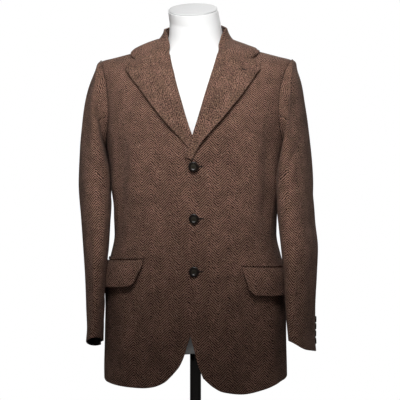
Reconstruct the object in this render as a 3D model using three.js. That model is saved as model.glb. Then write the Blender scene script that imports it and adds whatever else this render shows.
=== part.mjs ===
// A tweed hacking jacket, buttoned on a limbless dress form that stands on a pole and a round base.
// Millimetres, +Z up. The origin is the middle of the base's underside. The jacket faces -Y, so the
// wearer's left side is at +X.
//
// The cloth is drafted on a block: a surface round the body, made of rings. A place on the block is
// (q, v) and a lift. q runs round the ring: 0 at centre front, 1 at the side, 2 at centre back. v is the
// height above the hem, carried on over the shoulder and up the neck. The lift is how far the place
// stands off the block; s is millimetres round from centre front. Every piece of the body is a patch
// of (q, v) between four edges, with a wall.
import * as THREE from "three";

// Driving dimensions
const clothWall = 2;
const seamGap = 0.3;
const layerGap = 1.2; // clear space between two layers of cloth that lie on each other
const hemZ = 267; // height of v = 0 above the floor
const buttonLine = 11; // the button line lies this far towards the wearer's left
const overlap = 17; // how far each front runs past the button line
const neckV = 797; // the neck seam
const shoulderV = 733; // the outer end of the shoulder seam
// The armhole is an oval in (q, v): middle and half are heights, reach is half its width in q, and the
// panel seams meet it at these turns.
const armhole = { middle: 624, half: 109, reach: 0.278, frontSeam: 0.3525, backSeam: 0.6475 };
const quarterLength = 290; // about how many millimetres of cloth one q is at the armhole
// The vent's top, how far its left side runs on under the right, and the height in which that begins
const vent = { top: 226, underlap: 34, step: 9 };
const backHem = 20; // height of the hem at centre back
const neckAside = -4; // the neck stands this far off the middle, towards the wearer's right

const materials = {
  tweed: new THREE.MeshStandardMaterial({ color: 0x6b5344, roughness: 0.95, metalness: 0 }),
  button: new THREE.MeshStandardMaterial({ color: 0x2e241d, roughness: 0.35, metalness: 0 }),
  form: new THREE.MeshStandardMaterial({ color: 0xf2f1ee, roughness: 0.5, metalness: 0 }),
  cap: new THREE.MeshStandardMaterial({ color: 0xdedfdf, roughness: 0.5, metalness: 0 }),
  chrome: new THREE.MeshStandardMaterial({ color: 0xc8cacb, roughness: 0.15, metalness: 1 }),
};

// The block's rings. zS, zF, zB: height at the side, front and back. half: half width.
// yF, yB, yS: depth of the front, of the back and of the widest place. nF, nB: squareness.
const ringColumns = ["v", "zS", "zF", "zB", "half", "yF", "yB", "yS", "nF", "nB"];
const blockRings = [
  [-20, -20, -20, -20, 204, -131, 131, 0, 2.3, 2.3],
  [80, 80, 80, 80, 202.5, -132, 134, 0, 2.3, 2.3],
  [157, 157, 157, 157, 201, -132, 134, 0, 2.3, 2.3],
  [230, 230, 230, 230, 202, -131, 129, 0, 2.3, 2.3],
  [275, 275, 275, 275, 189, -129, 119, 0, 2.3, 2.25],
  [325, 325, 325, 325, 179, -128, 111, 0, 2.3, 2.25],
  [380, 380, 380, 380, 182, -130, 112, 1, 2.3, 2.25],
  [440, 440, 440, 440, 192, -135, 120, 2, 2.25, 2.3],
  [515, 515, 515, 515, 198, -138, 130, 4, 2.2, 2.4],
  [580, 578, 574, 578, 206, -133, 134, 6, 2.2, 2.5],
  [640, 636, 625, 636, 214, -121, 131, 8, 2.2, 2.5],
  [690, 683, 660, 684, 219, -106, 122, 9, 2.15, 2.4],
  [715, 702, 677, 704, 220, -97, 115, 9, 2.1, 2.3],
  [733, 710, 688, 718, 214, -91, 109, 8, 2.1, 2.2],
  [750, 718, 699, 731, 184, -86, 102, 7, 2.1, 2.2],
  [770, 729, 712, 747, 141, -81, 93, 5, 2.1, 2.1],
  [785, 738, 722, 759, 106, -77, 84, 3, 2.1, 2.1],
  [800, 752, 733, 772, 72, -73, 74, 0, 2.05, 2.05],
  [814, 772, 750, 788, 63, -70, 63, -4, 2, 2],
  [836, 797, 780, 812, 60, -68, 56, -8, 2, 2],
];

// The dress form lies inside the block: how deep, by v, at the sides and at centre front and back.
// It comes up to the cloth only along the shoulders, which carry the jacket.
const formDepth = [
  // v, sides, middles
  [78, 26, 24],
  [86, 16, 16],
  [230, 15, 14],
  [325, 12, 13],
  [515, 12, 12],
  [640, 11, 9],
  [705, 9, 8],
  [733, 7, 7],
  [752, 2, 6],
  [764, 1.1, 5],
  [782, 1.1, 5],
  [800, 5, 5],
  [836, 4.5, 5],
];
// The top of the neck: rise above the neck seam, half width, depths, lean in percent, cap's thickness
const neckTop = { rise: 37, half: 54.5, back: 40, front: -66, lean: 38, cap: 3 };

const pole = { radius: 12.5, sides: 28 };
const base = { radius: 165, edge: 7, crown: 15, hub: 26, hubTop: 40, sides: 48 };

// ---------------------------------------------------------------- curves

const mix = (a, b, t) => a + (b - a) * t;
const smooth = (a, b, x) => {
  const t = Math.min(1, Math.max(0, (x - a) / (b - a)));
  return t * t * (3 - 2 * t);
};
const range = (count) => Array.from({ length: count + 1 }, (_, i) => i / count);

// A curve through the rows of a table that never overshoots them. Column 0 is where, the rest is what.
function curveThrough(rows) {
  const at = rows.map((r) => r[0]);
  const slopes = rows[0].map((_, c) => {
    const steps = rows.slice(1).map((r, i) => (r[c] - rows[i][c]) / (at[i + 1] - at[i]));
    return rows.map((_, i) => {
      if (i === 0) return steps[0];
      if (i === rows.length - 1) return steps[i - 1];
      const product = steps[i - 1] * steps[i];
      return product <= 0 ? 0 : (2 * product) / (steps[i - 1] + steps[i]);
    });
  });
  return (x) => {
    const where = Math.min(at[at.length - 1], Math.max(at[0], x));
    let i = 0;
    while (i < at.length - 2 && where > at[i + 1]) i++;
    const h = at[i + 1] - at[i];
    const t = (where - at[i]) / h;
    return rows[0].map((_, c) => {
      const [p, q] = [rows[i][c], rows[i + 1][c]];
      const [m, n] = [slopes[c][i] * h, slopes[c][i + 1] * h];
      return p + t * (m + t * (3 * (q - p) - 2 * m - n + t * (2 * (p - q) + m + n)));
    });
  };
}

// So many places along a line of (mm, mm) points, equal lengths apart.
function along(points, count) {
  const lengths = [0];
  for (let i = 1; i < points.length; i++) {
    const [across, up] = [0, 1].map((k) => points[i][k] - points[i - 1][k]);
    lengths.push(lengths[i - 1] + Math.hypot(across, up));
  }
  const total = lengths[lengths.length - 1];
  const curve = curveThrough(points.map((p, i) => [lengths[i] / total, ...p]));
  return range(count).map((t) => curve(t).slice(1));
}

// ---------------------------------------------------------------- the block

// A surface from ring rows. where(q, v, lift, side) is a place; quarter(v) is the length of the ring
// from centre front to the side.
function makeBlock(rows) {
  const curve = curveThrough(rows);
  const samples = 90;
  const known = new Map();
  // A place on one half of a ring, whose end in the middle of the front or the back is [n, y, z]
  const onRing = (r, angle, [n, y, z]) => {
    const s = Math.abs(Math.sin(angle)) ** (2 / n);
    const c = Math.abs(Math.cos(angle)) ** (2 / n);
    return new THREE.Vector3(r.half * s, mix(r.yS, y, c), mix(r.zS, z, Math.cos(angle) ** 2));
  };
  const ringAt = (v) => {
    const key = Math.round(v * 1e4);
    if (known.has(key)) return known.get(key);
    const row = curve(v);
    const r = Object.fromEntries(ringColumns.map((name, i) => [name, row[i]]));
    const ends = [[r.nF, r.yF, r.zF], [r.nB, r.yB, r.zB]];
    const halves = ends.map((end, part) => {
      const points = range(samples).map((t) => onRing(r, ((part + t) * Math.PI) / 2, end));
      const lengths = [0];
      for (let i = 1; i <= samples; i++) {
        lengths.push(lengths[i - 1] + points[i].distanceTo(points[i - 1]));
      }
      return { points, lengths };
    });
    known.set(key, { r, halves });
    return known.get(key);
  };
  const surface = (q, v) => {
    const round = ((q % 4) + 4) % 4;
    const away = round > 2 ? 4 - round : round;
    const { halves } = ringAt(v);
    const part = away < 1 ? 0 : 1;
    const { points, lengths } = halves[part];
    const s = Math.min(1, away - part) * lengths[samples];
    let i = 0;
    while (i < samples - 1 && lengths[i + 1] < s) i++;
    const p = points[i].clone().lerp(points[i + 1], (s - lengths[i]) / (lengths[i + 1] - lengths[i]));
    return round > 2 ? p.setX(-p.x) : p;
  };
  const normal = (q, v) => {
    const round = surface(q + 0.006, v).sub(surface(q - 0.006, v));
    const up = surface(q, v + 1).sub(surface(q, v - 1));
    return round.cross(up).normalize();
  };
  const where = (q, v, lift = 0, side = 1) => {
    const p = surface(q, v).addScaledVector(normal(q, v), lift);
    return new THREE.Vector3(p.x * side + neckAside * smooth(740, 800, v), p.y, p.z + hemZ);
  };
  const quarter = (v) => ringAt(v).halves[0].lengths[samples];
  return { where, quarter, ringAt };
}

const block = makeBlock(blockRings);
const gapAt = (v) => seamGap / 2 / block.quarter(v);

// (mm from the middle of the front, v) as (q, v)
const onFront = ([s, v]) => [s / block.quarter(v), v];

// ---------------------------------------------------------------- walls of cloth

function faced(places, faces) {
  const geometry = new THREE.BufferGeometry();
  const numbers = places.flatMap((p) => [p.x, p.y, p.z]);
  geometry.setAttribute("position", new THREE.Float32BufferAttribute(numbers, 3));
  geometry.setIndex(faces);
  geometry.computeVertexNormals();
  return geometry;
}

// A closed wall between an outer and an inner grid of places. The outer grid's rows run upwards and
// its columns anticlockwise as seen from outside; flip is for grids that run the other way.
function wall(outer, inner, flip = false) {
  const rows = outer.length;
  const columns = outer[0].length;
  const places = [...outer.flat(), ...inner.flat()];
  const id = (layer, j, i) => (layer * rows + j) * columns + i;
  const faces = [];
  const quad = (a, b, c, d) => {
    const short = places[a].distanceTo(places[c]) <= places[b].distanceTo(places[d]);
    const pair = short ? [a, b, c, a, c, d] : [a, b, d, b, c, d];
    faces.push(...(flip ? pair.reverse() : pair));
  };
  for (let j = 0; j + 1 < rows; j++) {
    for (let i = 0; i + 1 < columns; i++) {
      quad(id(0, j, i), id(0, j, i + 1), id(0, j + 1, i + 1), id(0, j + 1, i));
      quad(id(1, j, i), id(1, j + 1, i), id(1, j + 1, i + 1), id(1, j, i + 1));
    }
    const last = columns - 1;
    quad(id(0, j, 0), id(0, j + 1, 0), id(1, j + 1, 0), id(1, j, 0));
    quad(id(0, j + 1, last), id(0, j, last), id(1, j, last), id(1, j + 1, last));
  }
  for (let i = 0; i + 1 < columns; i++) {
    const last = rows - 1;
    quad(id(0, 0, i + 1), id(0, 0, i), id(1, 0, i), id(1, 0, i + 1));
    quad(id(0, last, i), id(0, last, i + 1), id(1, last, i + 1), id(1, last, i));
  }
  return faced(places, faces);
}

// A grid of (q, v) between four rows of (q, v): bottom and top run round, inner and outer run up.
function between({ bottom, top, inner, outer }) {
  const across = bottom.length - 1;
  const up = inner.length - 1;
  return inner.map((left, j) =>
    bottom.map((low, i) => {
      const [a, b] = [i / across, j / up];
      return [0, 1].map((k) => {
        const corner = mix(mix(bottom[0][k], bottom[across][k], a), mix(top[0][k], top[across][k], a), b);
        return mix(low[k], top[i][k], b) + mix(left[k], outer[j][k], a) - corner;
      });
    }),
  );
}

// A wall of cloth on the block from a grid of (q, v). lift(q, v, a, b) is how far it stands off.
function clothOn(grid, side, lift = () => 0, thick = clothWall) {
  const layer = (rise) =>
    grid.map((row, j) =>
      row.map(([q, v], i) => {
        const off = lift(q, v, i / (row.length - 1), j / (grid.length - 1));
        return block.where(q, v, off + rise, side);
      }),
    );
  return wall(layer(thick), layer(0), side < 0);
}

const jacket = new THREE.Group();
function add(name, geometry, material = materials.tweed) {
  const mesh = new THREE.Mesh(geometry, material);
  mesh.name = name;
  jacket.add(mesh);
  return mesh;
}

// ---------------------------------------------------------------- seams that two pieces share

// The armhole, by turn: 0 at the shoulder, a quarter at the front, a half under the arm.
const armholeAt = (turn, grow = 0) => {
  const a = turn * 2 * Math.PI;
  const [reach, half] = [armhole.reach + grow / quarterLength, armhole.half + grow];
  return [1 - reach * Math.sin(a), armhole.middle + half * Math.cos(a)];
};
const [frontSeamTop, backSeamTop] = [armhole.frontSeam, armhole.backSeam].map((turn) => armholeAt(turn));
// v, q
const frontSeam = curveThrough([[-20, 0.8], [150, 0.79], [325, 0.77], [...frontSeamTop].reverse()]);
const backSeam = curveThrough([[-20, 1.22], [150, 1.22], [325, 1.24], [...backSeamTop].reverse()]);
const rowsTo = { armhole: 13, shoulder: 8, neck: 3 };
const total = rowsTo.armhole + rowsTo.shoulder + rowsTo.neck;

// Up a side seam from the hem, round the armhole to the shoulder and in along the shoulder seam
function seamEdge(seam, seamTurn, hem, away) {
  const down = range(rowsTo.armhole).map((t) => {
    const v = mix(hem, armholeAt(seamTurn)[1], t);
    return [seam(v)[1] + away * gapAt(v), v];
  });
  const end = seamTurn < 0.5 ? 0 : 1;
  const round = range(rowsTo.shoulder).slice(1).map((t) => armholeAt(mix(seamTurn, end, t)));
  const inwards = range(rowsTo.neck).slice(1).map((t) => [1, mix(shoulderV, neckV, t)]);
  const apart = (v) => (v > shoulderV - 1 ? away * gapAt(v) : 0);
  return [...down, ...[...round, ...inwards].map(([q, v]) => [q + apart(v), v])];
}

// ---------------------------------------------------------------- the body's pieces

// Each front, as (mm from the middle towards its own side, v): its rounded front corner, its front
// edge and the roll line where its lapel turns back.
const gorge = [54, 775]; // where the lapel's seam with the collar meets the roll line
const notch = [128, 748]; // and where it ends
const fronts = {
  right: {
    side: -1,
    edge: -(buttonLine + overlap),
    corner: [36, 36],
    hem: [[53, 20], [80, 8], [105, 4]],
    cutaway: [[20, 56], [10, 78], [3, 102], [-7, 128], [-20, 158]],
    hemAtSeam: 0,
    roll: [[-24, 507], [-8, 538], [20, 631], [34, 690], [44, 740], gorge],
    lapel: [[-9, 507], [0, 518], [42, 569], [80, 618], [123, 679], [145, 709], [149, 747]],
    flap: { front: 99, length: 150, top: 279, fall: -17, height: 57, slant: 8 },
  },
  left: {
    side: 1,
    edge: buttonLine - overlap,
    corner: [30, 33],
    hem: [[50, 15], [72, 3], [118, -4], [162, 1]],
    cutaway: [[19, 62], [11, 93], [3, 125], [0, 156], [-4, 190]],
    hemAtSeam: 11,
    roll: [[-5, 498], [9, 538], [32, 631], [46, 706], [52, 745], gorge],
    lapel: [[8, 492], [26, 526], [70, 585], [109, 640], [148, 706], [152, 746]],
    flap: { front: 111, length: 145, top: 266, fall: -15, height: 58, slant: 6 },
  },
};
const neckStart = [60, 791]; // where the roll line ends and the neck seam begins

// How far a front stands off the block: the left one lies over the right one and over its lapel. Its
// lift eases off by s away from the front edge and by v towards the shoulder.
const lapelOver = 3.3;
const frontLift = (f) => (q, v) => {
  if (f.side < 0) return 0;
  const s = q * block.quarter(v);
  const nearEdge = (1 - smooth(25, 110, s)) * (1 - smooth(620, 740, v));
  const overLapel = smooth(474, 500, v) * (1 - smooth(560, 610, v));
  return (clothWall + layerGap) * nearEdge + (clothWall + lapelOver) * overLapel * (1 - smooth(15, 70, s));
};

const acrossFront = 12;
function front(name, f) {
  const straight = [235, 350, 470].map((v) => [f.edge, v]);
  const inner = along([f.corner, ...f.cutaway, ...straight, ...f.roll, neckStart], total);
  const hemEnd = [frontSeam(f.hemAtSeam)[1] * block.quarter(0), f.hemAtSeam];
  const hem = along([f.corner, ...f.hem, hemEnd], acrossFront);
  const outer = seamEdge(frontSeam, armhole.frontSeam, f.hemAtSeam, -1);
  const bottom = hem.map(onFront);
  bottom[acrossFront] = outer[0];
  const start = onFront(neckStart);
  const end = outer[total];
  const top = range(acrossFront).map((t) => [mix(start[0], end[0], t), mix(start[1], neckV, Math.sqrt(t))]);
  const grid = between({ bottom, top, inner: inner.map(onFront), outer });
  add(name, clothOn(grid, f.side, frontLift(f)));
}

function sidePanel(name, side, hemFront, hemBack) {
  const across = 4;
  const up = (seam, turn, hem, away) => seamEdge(seam, turn, hem, away).slice(0, rowsTo.armhole + 1);
  const inner = up(frontSeam, armhole.frontSeam, hemFront, 1);
  const outer = up(backSeam, armhole.backSeam, hemBack, -1);
  const bottom = range(across).map((t) => [mix(inner[0][0], outer[0][0], t), mix(hemFront, hemBack, t)]);
  const top = range(across).map((t) => armholeAt(mix(armhole.frontSeam, armhole.backSeam, t)));
  top[0] = inner[rowsTo.armhole];
  top[across] = outer[rowsTo.armhole];
  add(name, clothOn(between({ bottom, top, inner, outer }), side));
}

// Half a back, from the side seam to centre back. Below the vent's top the left half runs on under
// the right one, which lies outside it.
function back(name, side, hemAtSeam) {
  const across = 9;
  const laps = side > 0 ? vent.underlap : 0;
  const ventStep = vent.top - vent.step;
  const lap = (v) => ((1 - smooth(ventStep, vent.top, v)) * laps) / block.quarter(v);
  const middle = (v) => 2 - gapAt(v) + lap(v);
  const inner = seamEdge(backSeam, armhole.backSeam, hemAtSeam, 1);
  const stops = [backHem, vent.top - 12, vent.top + 3, neckV].map((v) => [0, v]);
  const levels = along(stops, total).map((p) => p[1]);
  const below = levels.findIndex((v) => v > vent.top);
  levels[below - 1] = ventStep;
  levels[below] = vent.top;
  const outer = levels.map((v) => [middle(v), v]);
  const acrossAt = (row, t) => mix(inner[row][0], outer[row][0], t);
  const bottom = range(across).map((t) => [acrossAt(0, t), mix(hemAtSeam, backHem, smooth(0, 1, t))]);
  const top = range(across).map((t) => [acrossAt(total, t), neckV]);
  // the right half rises over the left one's underlap, and lies down again above the vent
  const lift = (q, v) => {
    if (side > 0) return 0;
    const above = smooth(vent.top + 2, vent.top + 60, v);
    return (clothWall + layerGap) * smooth(1.72, 1.84, q) * (1 - above);
  };
  add(name, clothOn(between({ bottom, top, inner, outer }), side, lift));
}

// ---------------------------------------------------------------- lapels and collar

// How the cloth bulges over a fold, by its share of the way from the fold to the outer edge
const rollHeight = 7;
const roll = (a) => rollHeight * Math.sin(Math.PI * Math.sqrt(a)) ** 2;
const standOff = 2; // how far the outer edges of the lapels and the collar stand off
const lapelLay = (f, q, v) => frontLift(f)(q, v) + clothWall + layerGap;

// The lapel: from the roll line out to its edge, up to the seam with the collar, the notch and its tip
function lapel(name, f) {
  const [across, up] = [8, 16];
  const inner = along(f.roll, up).map(([s, v]) => onFront([s, v]));
  const outer = along(f.lapel, up).map(onFront);
  const tip = f.lapel[f.lapel.length - 1];
  const bottom = along([f.roll[0], f.lapel[0]], across).map(onFront);
  const top = [...along([gorge, notch], across - 2), ...along([notch, tip], 2).slice(1)].map(onFront);
  const lift = (q, v, a) => lapelLay(f, q, v) + smooth(500, 640, v) * roll(a) + standOff * a;
  add(name, clothOn(between({ bottom, top, inner, outer }), f.side, lift));
}

// One side of the collar, from its front end to centre back: point, notch and gorge as (s, v), the
// rest as (q, v). The fold runs from the top of the lapel round the back of the neck; the fall turns
// down outside it and the stand goes in below it.
const collar = {
  point: [144, 761],
  notch: [notch[0], notch[1] + 1.2],
  gorge: [gorge[0], gorge[1] + 1.2],
  edge: [[0.84, 766], [1, 769], [1.4, 780], [2, 786]],
  fold: [[0.45, 790], [0.62, 808], [0.8, 821], [1, 827], [1.5, 831], [2, 832]],
  stand: [[0.56, 802], [0.68, 810], [0.8, 818], [1, 825], [1.5, 829], [2, 830]],
  around: 14,
  quarter: 250, // one q of the collar's edge in millimetres, to space its columns evenly
};

// Places along a line of (q, v), spaced by their length in the cloth
function spread(points, count) {
  const inCloth = points.map(([q, v]) => [q * collar.quarter, v]);
  return along(inCloth, count).map(([s, v]) => [s / collar.quarter, v]);
}

// Both sides of a collar layer: the left side's columns run to centre back and the right side's on.
function collarWall(half, lift) {
  const layer = (rise) =>
    half.map((row, j) => {
      const place = ([q, v], i, side) =>
        block.where(q, v, rise + lift(q, v, i / collar.around, j / (half.length - 1)), side);
      const left = row.map((p, i) => place(p, i, 1));
      const right = row.map((p, i) => place(p, i, -1)).reverse();
      return [...left, ...right.slice(1)];
    });
  return wall(layer(clothWall), layer(0));
}

function collarFall(name) {
  const up = 5;
  const point = onFront(collar.point);
  const gorge = onFront(collar.gorge);
  const bottom = spread([point, ...collar.edge], collar.around);
  const top = spread([gorge, ...collar.fold], collar.around);
  const seam = along([collar.notch, collar.gorge], up - 1);
  const inner = [collar.point, ...seam];
  const outer = range(up).map((t) => [2, mix(bottom[collar.around][1], top[collar.around][1], t)]);
  const lift = (q, v, a, b) => clothWall + layerGap + roll(1 - b) + standOff * (1 - b);
  add(name, collarWall(between({ bottom, top, inner: inner.map(onFront), outer }), lift));
}

function collarStand(name) {
  const up = 3;
  const top = spread(collar.stand, collar.around);
  const bottom = range(collar.around).map((t) => [mix(collar.stand[0][0], 2, t), neckV + 0.4]);
  const grid = range(up).map((b) => bottom.map((low, i) => low.map((value, k) => mix(value, top[i][k], b))));
  add(name, collarWall(grid, (q, v, a, b) => 0.2 + 0.6 * b));
}

// ---------------------------------------------------------------- pockets

// Strips across the front and the side panel. rise: above the pocket's line. height: up and down.
// round: the radius of a flap's lower front corner. off: clear of the cloth below. hang: how much
// further the lower edge stands off.
const flapCut = { rise: 0, round: 22, off: layerGap, thick: clothWall, hang: 2 };
const jetCut = { rise: 6.8, height: 6, round: 0, off: 1.2, thick: 1, hang: 0 };

function strip(name, f, { rise, height, round, off, thick, hang }) {
  const { front: start, length, top, fall, slant } = f.flap;
  const up = round ? 5 : 1;
  const across = 10;
  const grid = range(up).map((b) =>
    range(across).map((share) => {
      const a = share ** 1.5;
      const inCorner = Math.max(0, 1 - (a * length) / (round || 1));
      const corner = round * (1 - Math.sqrt(1 - inCorner ** 2));
      const edge = top + rise + fall * a;
      const s = start + a * length + (round ? slant * (1 - b) ** 2 * (1 - a) : 0);
      return [s / block.quarter(top), mix(edge - height + corner, edge, b)];
    }),
  );
  const lift = (q, v, a, b) => frontLift(f)(q, v) + clothWall + off + hang * (1 - b);
  add(name, clothOn(grid, f.side, lift, thick));
}

// ---------------------------------------------------------------- sleeves

// A sleeve's sections from just outside the armhole to the cuff. z, x, y: the middle. wide, deep:
// half widths across and front to back. toe: degrees that the front edge turns in. rise: how much
// higher the outer edge is than the middle. lead: how much higher the front edge is.
const sleeveColumns = ["z", "x", "y", "wide", "deep", "toe", "rise", "lead"];
const sleeves = {
  left: {
    side: 1,
    sections: [
      [610, 212, 6, 9, 84, 3, 96, 0],
      [597, 215, 4, 14, 90, 5, 92, 0],
      [575, 217, 2, 19, 93, 7, 84, 0],
      [546, 217.5, 0, 24.5, 94, 9, 72, 0],
      [512, 218.5, -2, 29.5, 93, 11, 58, 0],
      [470, 220.5, -6, 33.5, 91, 12, 43, 0],
      [415, 223, -12, 35, 88, 12, 25, 0],
      [350, 227.5, -22, 34.5, 85, 13, 10, 1],
      [290, 234, -33, 35, 81, 14, 2, 4],
      [230, 235.5, -45, 31, 76, 15, 0, 9],
      [170, 235, -56, 25.5, 71, 17, -2, 14],
      [120, 236.5, -64, 22.5, 67, 18, -4, 18],
      [91, 238.5, -68, 22, 65, 18, -6, 20],
    ],
  },
  right: {
    side: -1,
    sections: [
      [610, 212, 6, 9, 84, 3, 96, 0],
      [597, 216, 4, 15, 90, 5, 92, 0],
      [575, 220, 2, 21.5, 93, 7, 84, 0],
      [546, 222, 0, 29, 94, 9, 72, 0],
      [512, 223, -2, 34, 93, 12, 58, 0],
      [470, 225, -6, 36.5, 91, 14, 43, 0],
      [415, 226, -12, 36, 88, 15, 25, 0],
      [350, 224, -22, 32.5, 85, 15, 10, 1],
      [290, 221, -33, 28.5, 81, 14, 2, 5],
      [230, 218.5, -45, 24.5, 76, 12, 0, 10],
      [170, 216, -56, 21, 71, 10, -2, 16],
      [120, 215, -64, 19, 67, 9, -2, 20],
      [90, 215, -68, 19, 65, 8, -2, 23],
    ],
  },
};
const sleeveSeams = { front: 0.3, back: 0.7, backAtCuff: 0.8 }; // as turns round the section
const sleeveRound = 333; // a sleeve is about this far round
const sleevePower = 2.25; // the squareness of its sections
const sleeveClear = { body: 4.2, flap: 5.3, armhole: 5.1 }; // off the body, more beside a flap

// The block's half width at a place's height and depth
function blockHalfAt(y, z) {
  let v = z;
  for (let i = 0; i < 6; i++) {
    const { r } = block.ringAt(v);
    const front = y < r.yS;
    const share = Math.abs(y - r.yS) / Math.abs((front ? r.yF : r.yB) - r.yS);
    const c = Math.min(1, share) ** (front ? r.nF : r.nB);
    v += z - mix(r.zS, front ? r.zF : r.zB, c);
  }
  const { r } = block.ringAt(v);
  const front = y < r.yS;
  const n = front ? r.nF : r.nB;
  const c = Math.abs(y - r.yS) / Math.abs((front ? r.yF : r.yB) - r.yS);
  return c >= 1 ? 0 : r.half * (1 - c ** n) ** (1 / n);
}

// The sleeve's outer face: at(t, turn) with t from 0 at the armhole to 1 at the cuff
function sleeveSurface({ sections }) {
  const rings = sections.map((row) => Object.fromEntries(sleeveColumns.map((name, i) => [name, row[i]])));
  const lines = new Map();
  const lineAt = (turn) => {
    const key = Math.round((((turn % 1) + 1) % 1) * 1e6);
    if (lines.has(key)) return lines.get(key);
    const a = turn * 2 * Math.PI;
    const power = (x) => Math.sign(x) * Math.abs(x) ** (2 / sleevePower);
    const [out, ahead] = [power(Math.cos(a)), power(Math.sin(a))];
    const first = block.where(...armholeAt(turn, 1), sleeveClear.armhole);
    const places = [[first.x, first.y, first.z - hemZ]];
    for (const r of rings) {
      const toe = (r.toe * Math.PI) / 180;
      const x = r.x + r.wide * out * Math.cos(toe) - r.deep * ahead * Math.sin(toe);
      const y = r.y - r.wide * out * Math.sin(toe) - r.deep * ahead * Math.cos(toe);
      const z = r.z + r.rise * out + r.lead * ahead;
      const beside = sleeveClear.flap * (1 - smooth(285, 340, z));
      const least = blockHalfAt(y, z) + clothWall + sleeveClear.body + beside;
      places.push([x < least ? least + (x - least) * 0.02 : x, y, z]);
    }
    lines.set(key, curveThrough(places.map((p, i) => [i / rings.length, ...p])));
    return lines.get(key);
  };
  return (t, turn) => {
    const [, x, y, z] = lineAt(turn)(t);
    return new THREE.Vector3(x, y, z + hemZ);
  };
}

// One of the sleeve's two pieces, between two seams given as turns at the armhole and at the cuff
function sleevePiece(name, sleeve, from, to, across) {
  const surface = sleeveSurface(sleeve);
  const up = 17;
  const step = 0.004;
  const layers = [0, clothWall].map((depth) =>
    range(up).map((b) => {
      const t = 1 - b;
      const trim = seamGap / 2 / sleeveRound;
      return range(across).map((share) => {
        const turn = mix(mix(from[0], from[1], t) + trim, mix(to[0], to[1], t) - trim, share);
        const [t0, t1] = [Math.max(0, t - step), Math.min(1, t + step)];
        const round = surface(t, turn + step).sub(surface(t, turn - step));
        const down = surface(t1, turn).sub(surface(t0, turn));
        const p = surface(t, turn).addScaledVector(down.cross(round).normalize(), depth);
        return p.setX(p.x * sleeve.side);
      });
    }),
  );
  add(name, wall(layers[0], layers[1], sleeve.side > 0));
  return surface;
}

// ---------------------------------------------------------------- buttons

// A domed button with a rolled edge, lying on a place with its back towards it
function button(name, place, facing, radius) {
  const thick = radius * 0.46;
  const profile = [
    [0, 0],
    [radius * 0.8, 0],
    [radius, thick * 0.4],
    [radius * 0.93, thick * 0.8],
    [radius * 0.6, thick],
    [0, thick * 0.94],
  ];
  const geometry = new THREE.LatheGeometry(profile.map(([x, y]) => new THREE.Vector2(x, y)), 16);
  const mesh = add(name, geometry, materials.button);
  mesh.quaternion.setFromUnitVectors(new THREE.Vector3(0, 1, 0), facing.clone().normalize());
  mesh.position.copy(place);
}

const frontButtons = { radius: 10.8, levels: [479, 369, 257], off: 0.9 };
const cuffButtons = { radius: 7.2, count: 4, pitch: 15.2, first: 22, turn: 0.87, off: 0.6 };

function buttonsOn(surface, sleeve, tag) {
  let [t, gone] = [1, 0];
  for (let i = 0; i < cuffButtons.count; i++) {
    while (gone < cuffButtons.first + i * cuffButtons.pitch) {
      gone += surface(t, cuffButtons.turn).distanceTo(surface(t - 0.001, cuffButtons.turn));
      t -= 0.001;
    }
    const p = surface(t, cuffButtons.turn);
    const round = surface(t, cuffButtons.turn + 0.004).sub(surface(t, cuffButtons.turn - 0.004));
    const down = surface(t + 0.004, cuffButtons.turn).sub(surface(t - 0.004, cuffButtons.turn));
    const out = round.cross(down).normalize();
    p.addScaledVector(out, cuffButtons.off);
    if (sleeve.side < 0) [p, out].forEach((vector) => vector.setX(-vector.x));
    button(`cuff_button_${tag}_${i + 1}`, p, out, cuffButtons.radius);
  }
}

// ---------------------------------------------------------------- dress form and stand

// A closed skin over rings of places that run anticlockwise as seen from above, from the lowest up
function skin(rings) {
  const count = rings[0].length;
  const middle = (ring) => ring.reduce((sum, p) => sum.add(p), new THREE.Vector3()).divideScalar(count);
  const places = [...rings.flat(), middle(rings[0]), middle(rings[rings.length - 1])];
  const faces = [];
  for (let j = 0; j + 1 < rings.length; j++) {
    for (let i = 0; i < count; i++) {
      const [a, b] = [j * count + i, j * count + ((i + 1) % count)];
      faces.push(a, b, b + count, a, b + count, a + count);
    }
  }
  for (let i = 0; i < count; i++) {
    const next = (i + 1) % count;
    const top = (rings.length - 1) * count;
    faces.push(rings.length * count, next, i, rings.length * count + 1, top + i, top + next);
  }
  return faced(places, faces);
}

const formSides = 44;
const formLevels = [
  78, 84, 120, 157, 200, 250, 300, 350, 400, 460, 515, 560, 600,
  640, 670, 690, 705, 718, 730, 742, 755, 770, 785, 800, 815, 836,
];
function dressForm() {
  const depthAt = curveThrough(formDepth);
  const ring = (v) => {
    const [, sides, middles] = depthAt(v);
    return range(formSides).slice(0, -1).map((t) => {
      const depth = mix(middles, sides, Math.sin(t * 2 * Math.PI) ** 2);
      return block.where(t * 4, v, -depth);
    });
  };
  const { rise, half, back, front: ahead, lean, cap } = neckTop;
  const top = (up, shrink) =>
    range(formSides).slice(0, -1).map((t) => {
      const a = t * 2 * Math.PI;
      const y = mix(ahead, back, 0.5) - (Math.cos(a) * (back - ahead) * shrink) / 2;
      const z = hemZ + neckV + rise + up + (y * lean) / 100;
      return new THREE.Vector3(neckAside + Math.sin(a) * half * shrink, y, z);
    });
  add("form_torso", skin([...formLevels.map(ring), top(0, 1)]), materials.form);
  add("form_neck_cap", skin([top(seamGap, 0.985), top(cap, 0.985), top(cap + 0.8, 0.95)]), materials.cap);
}

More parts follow.
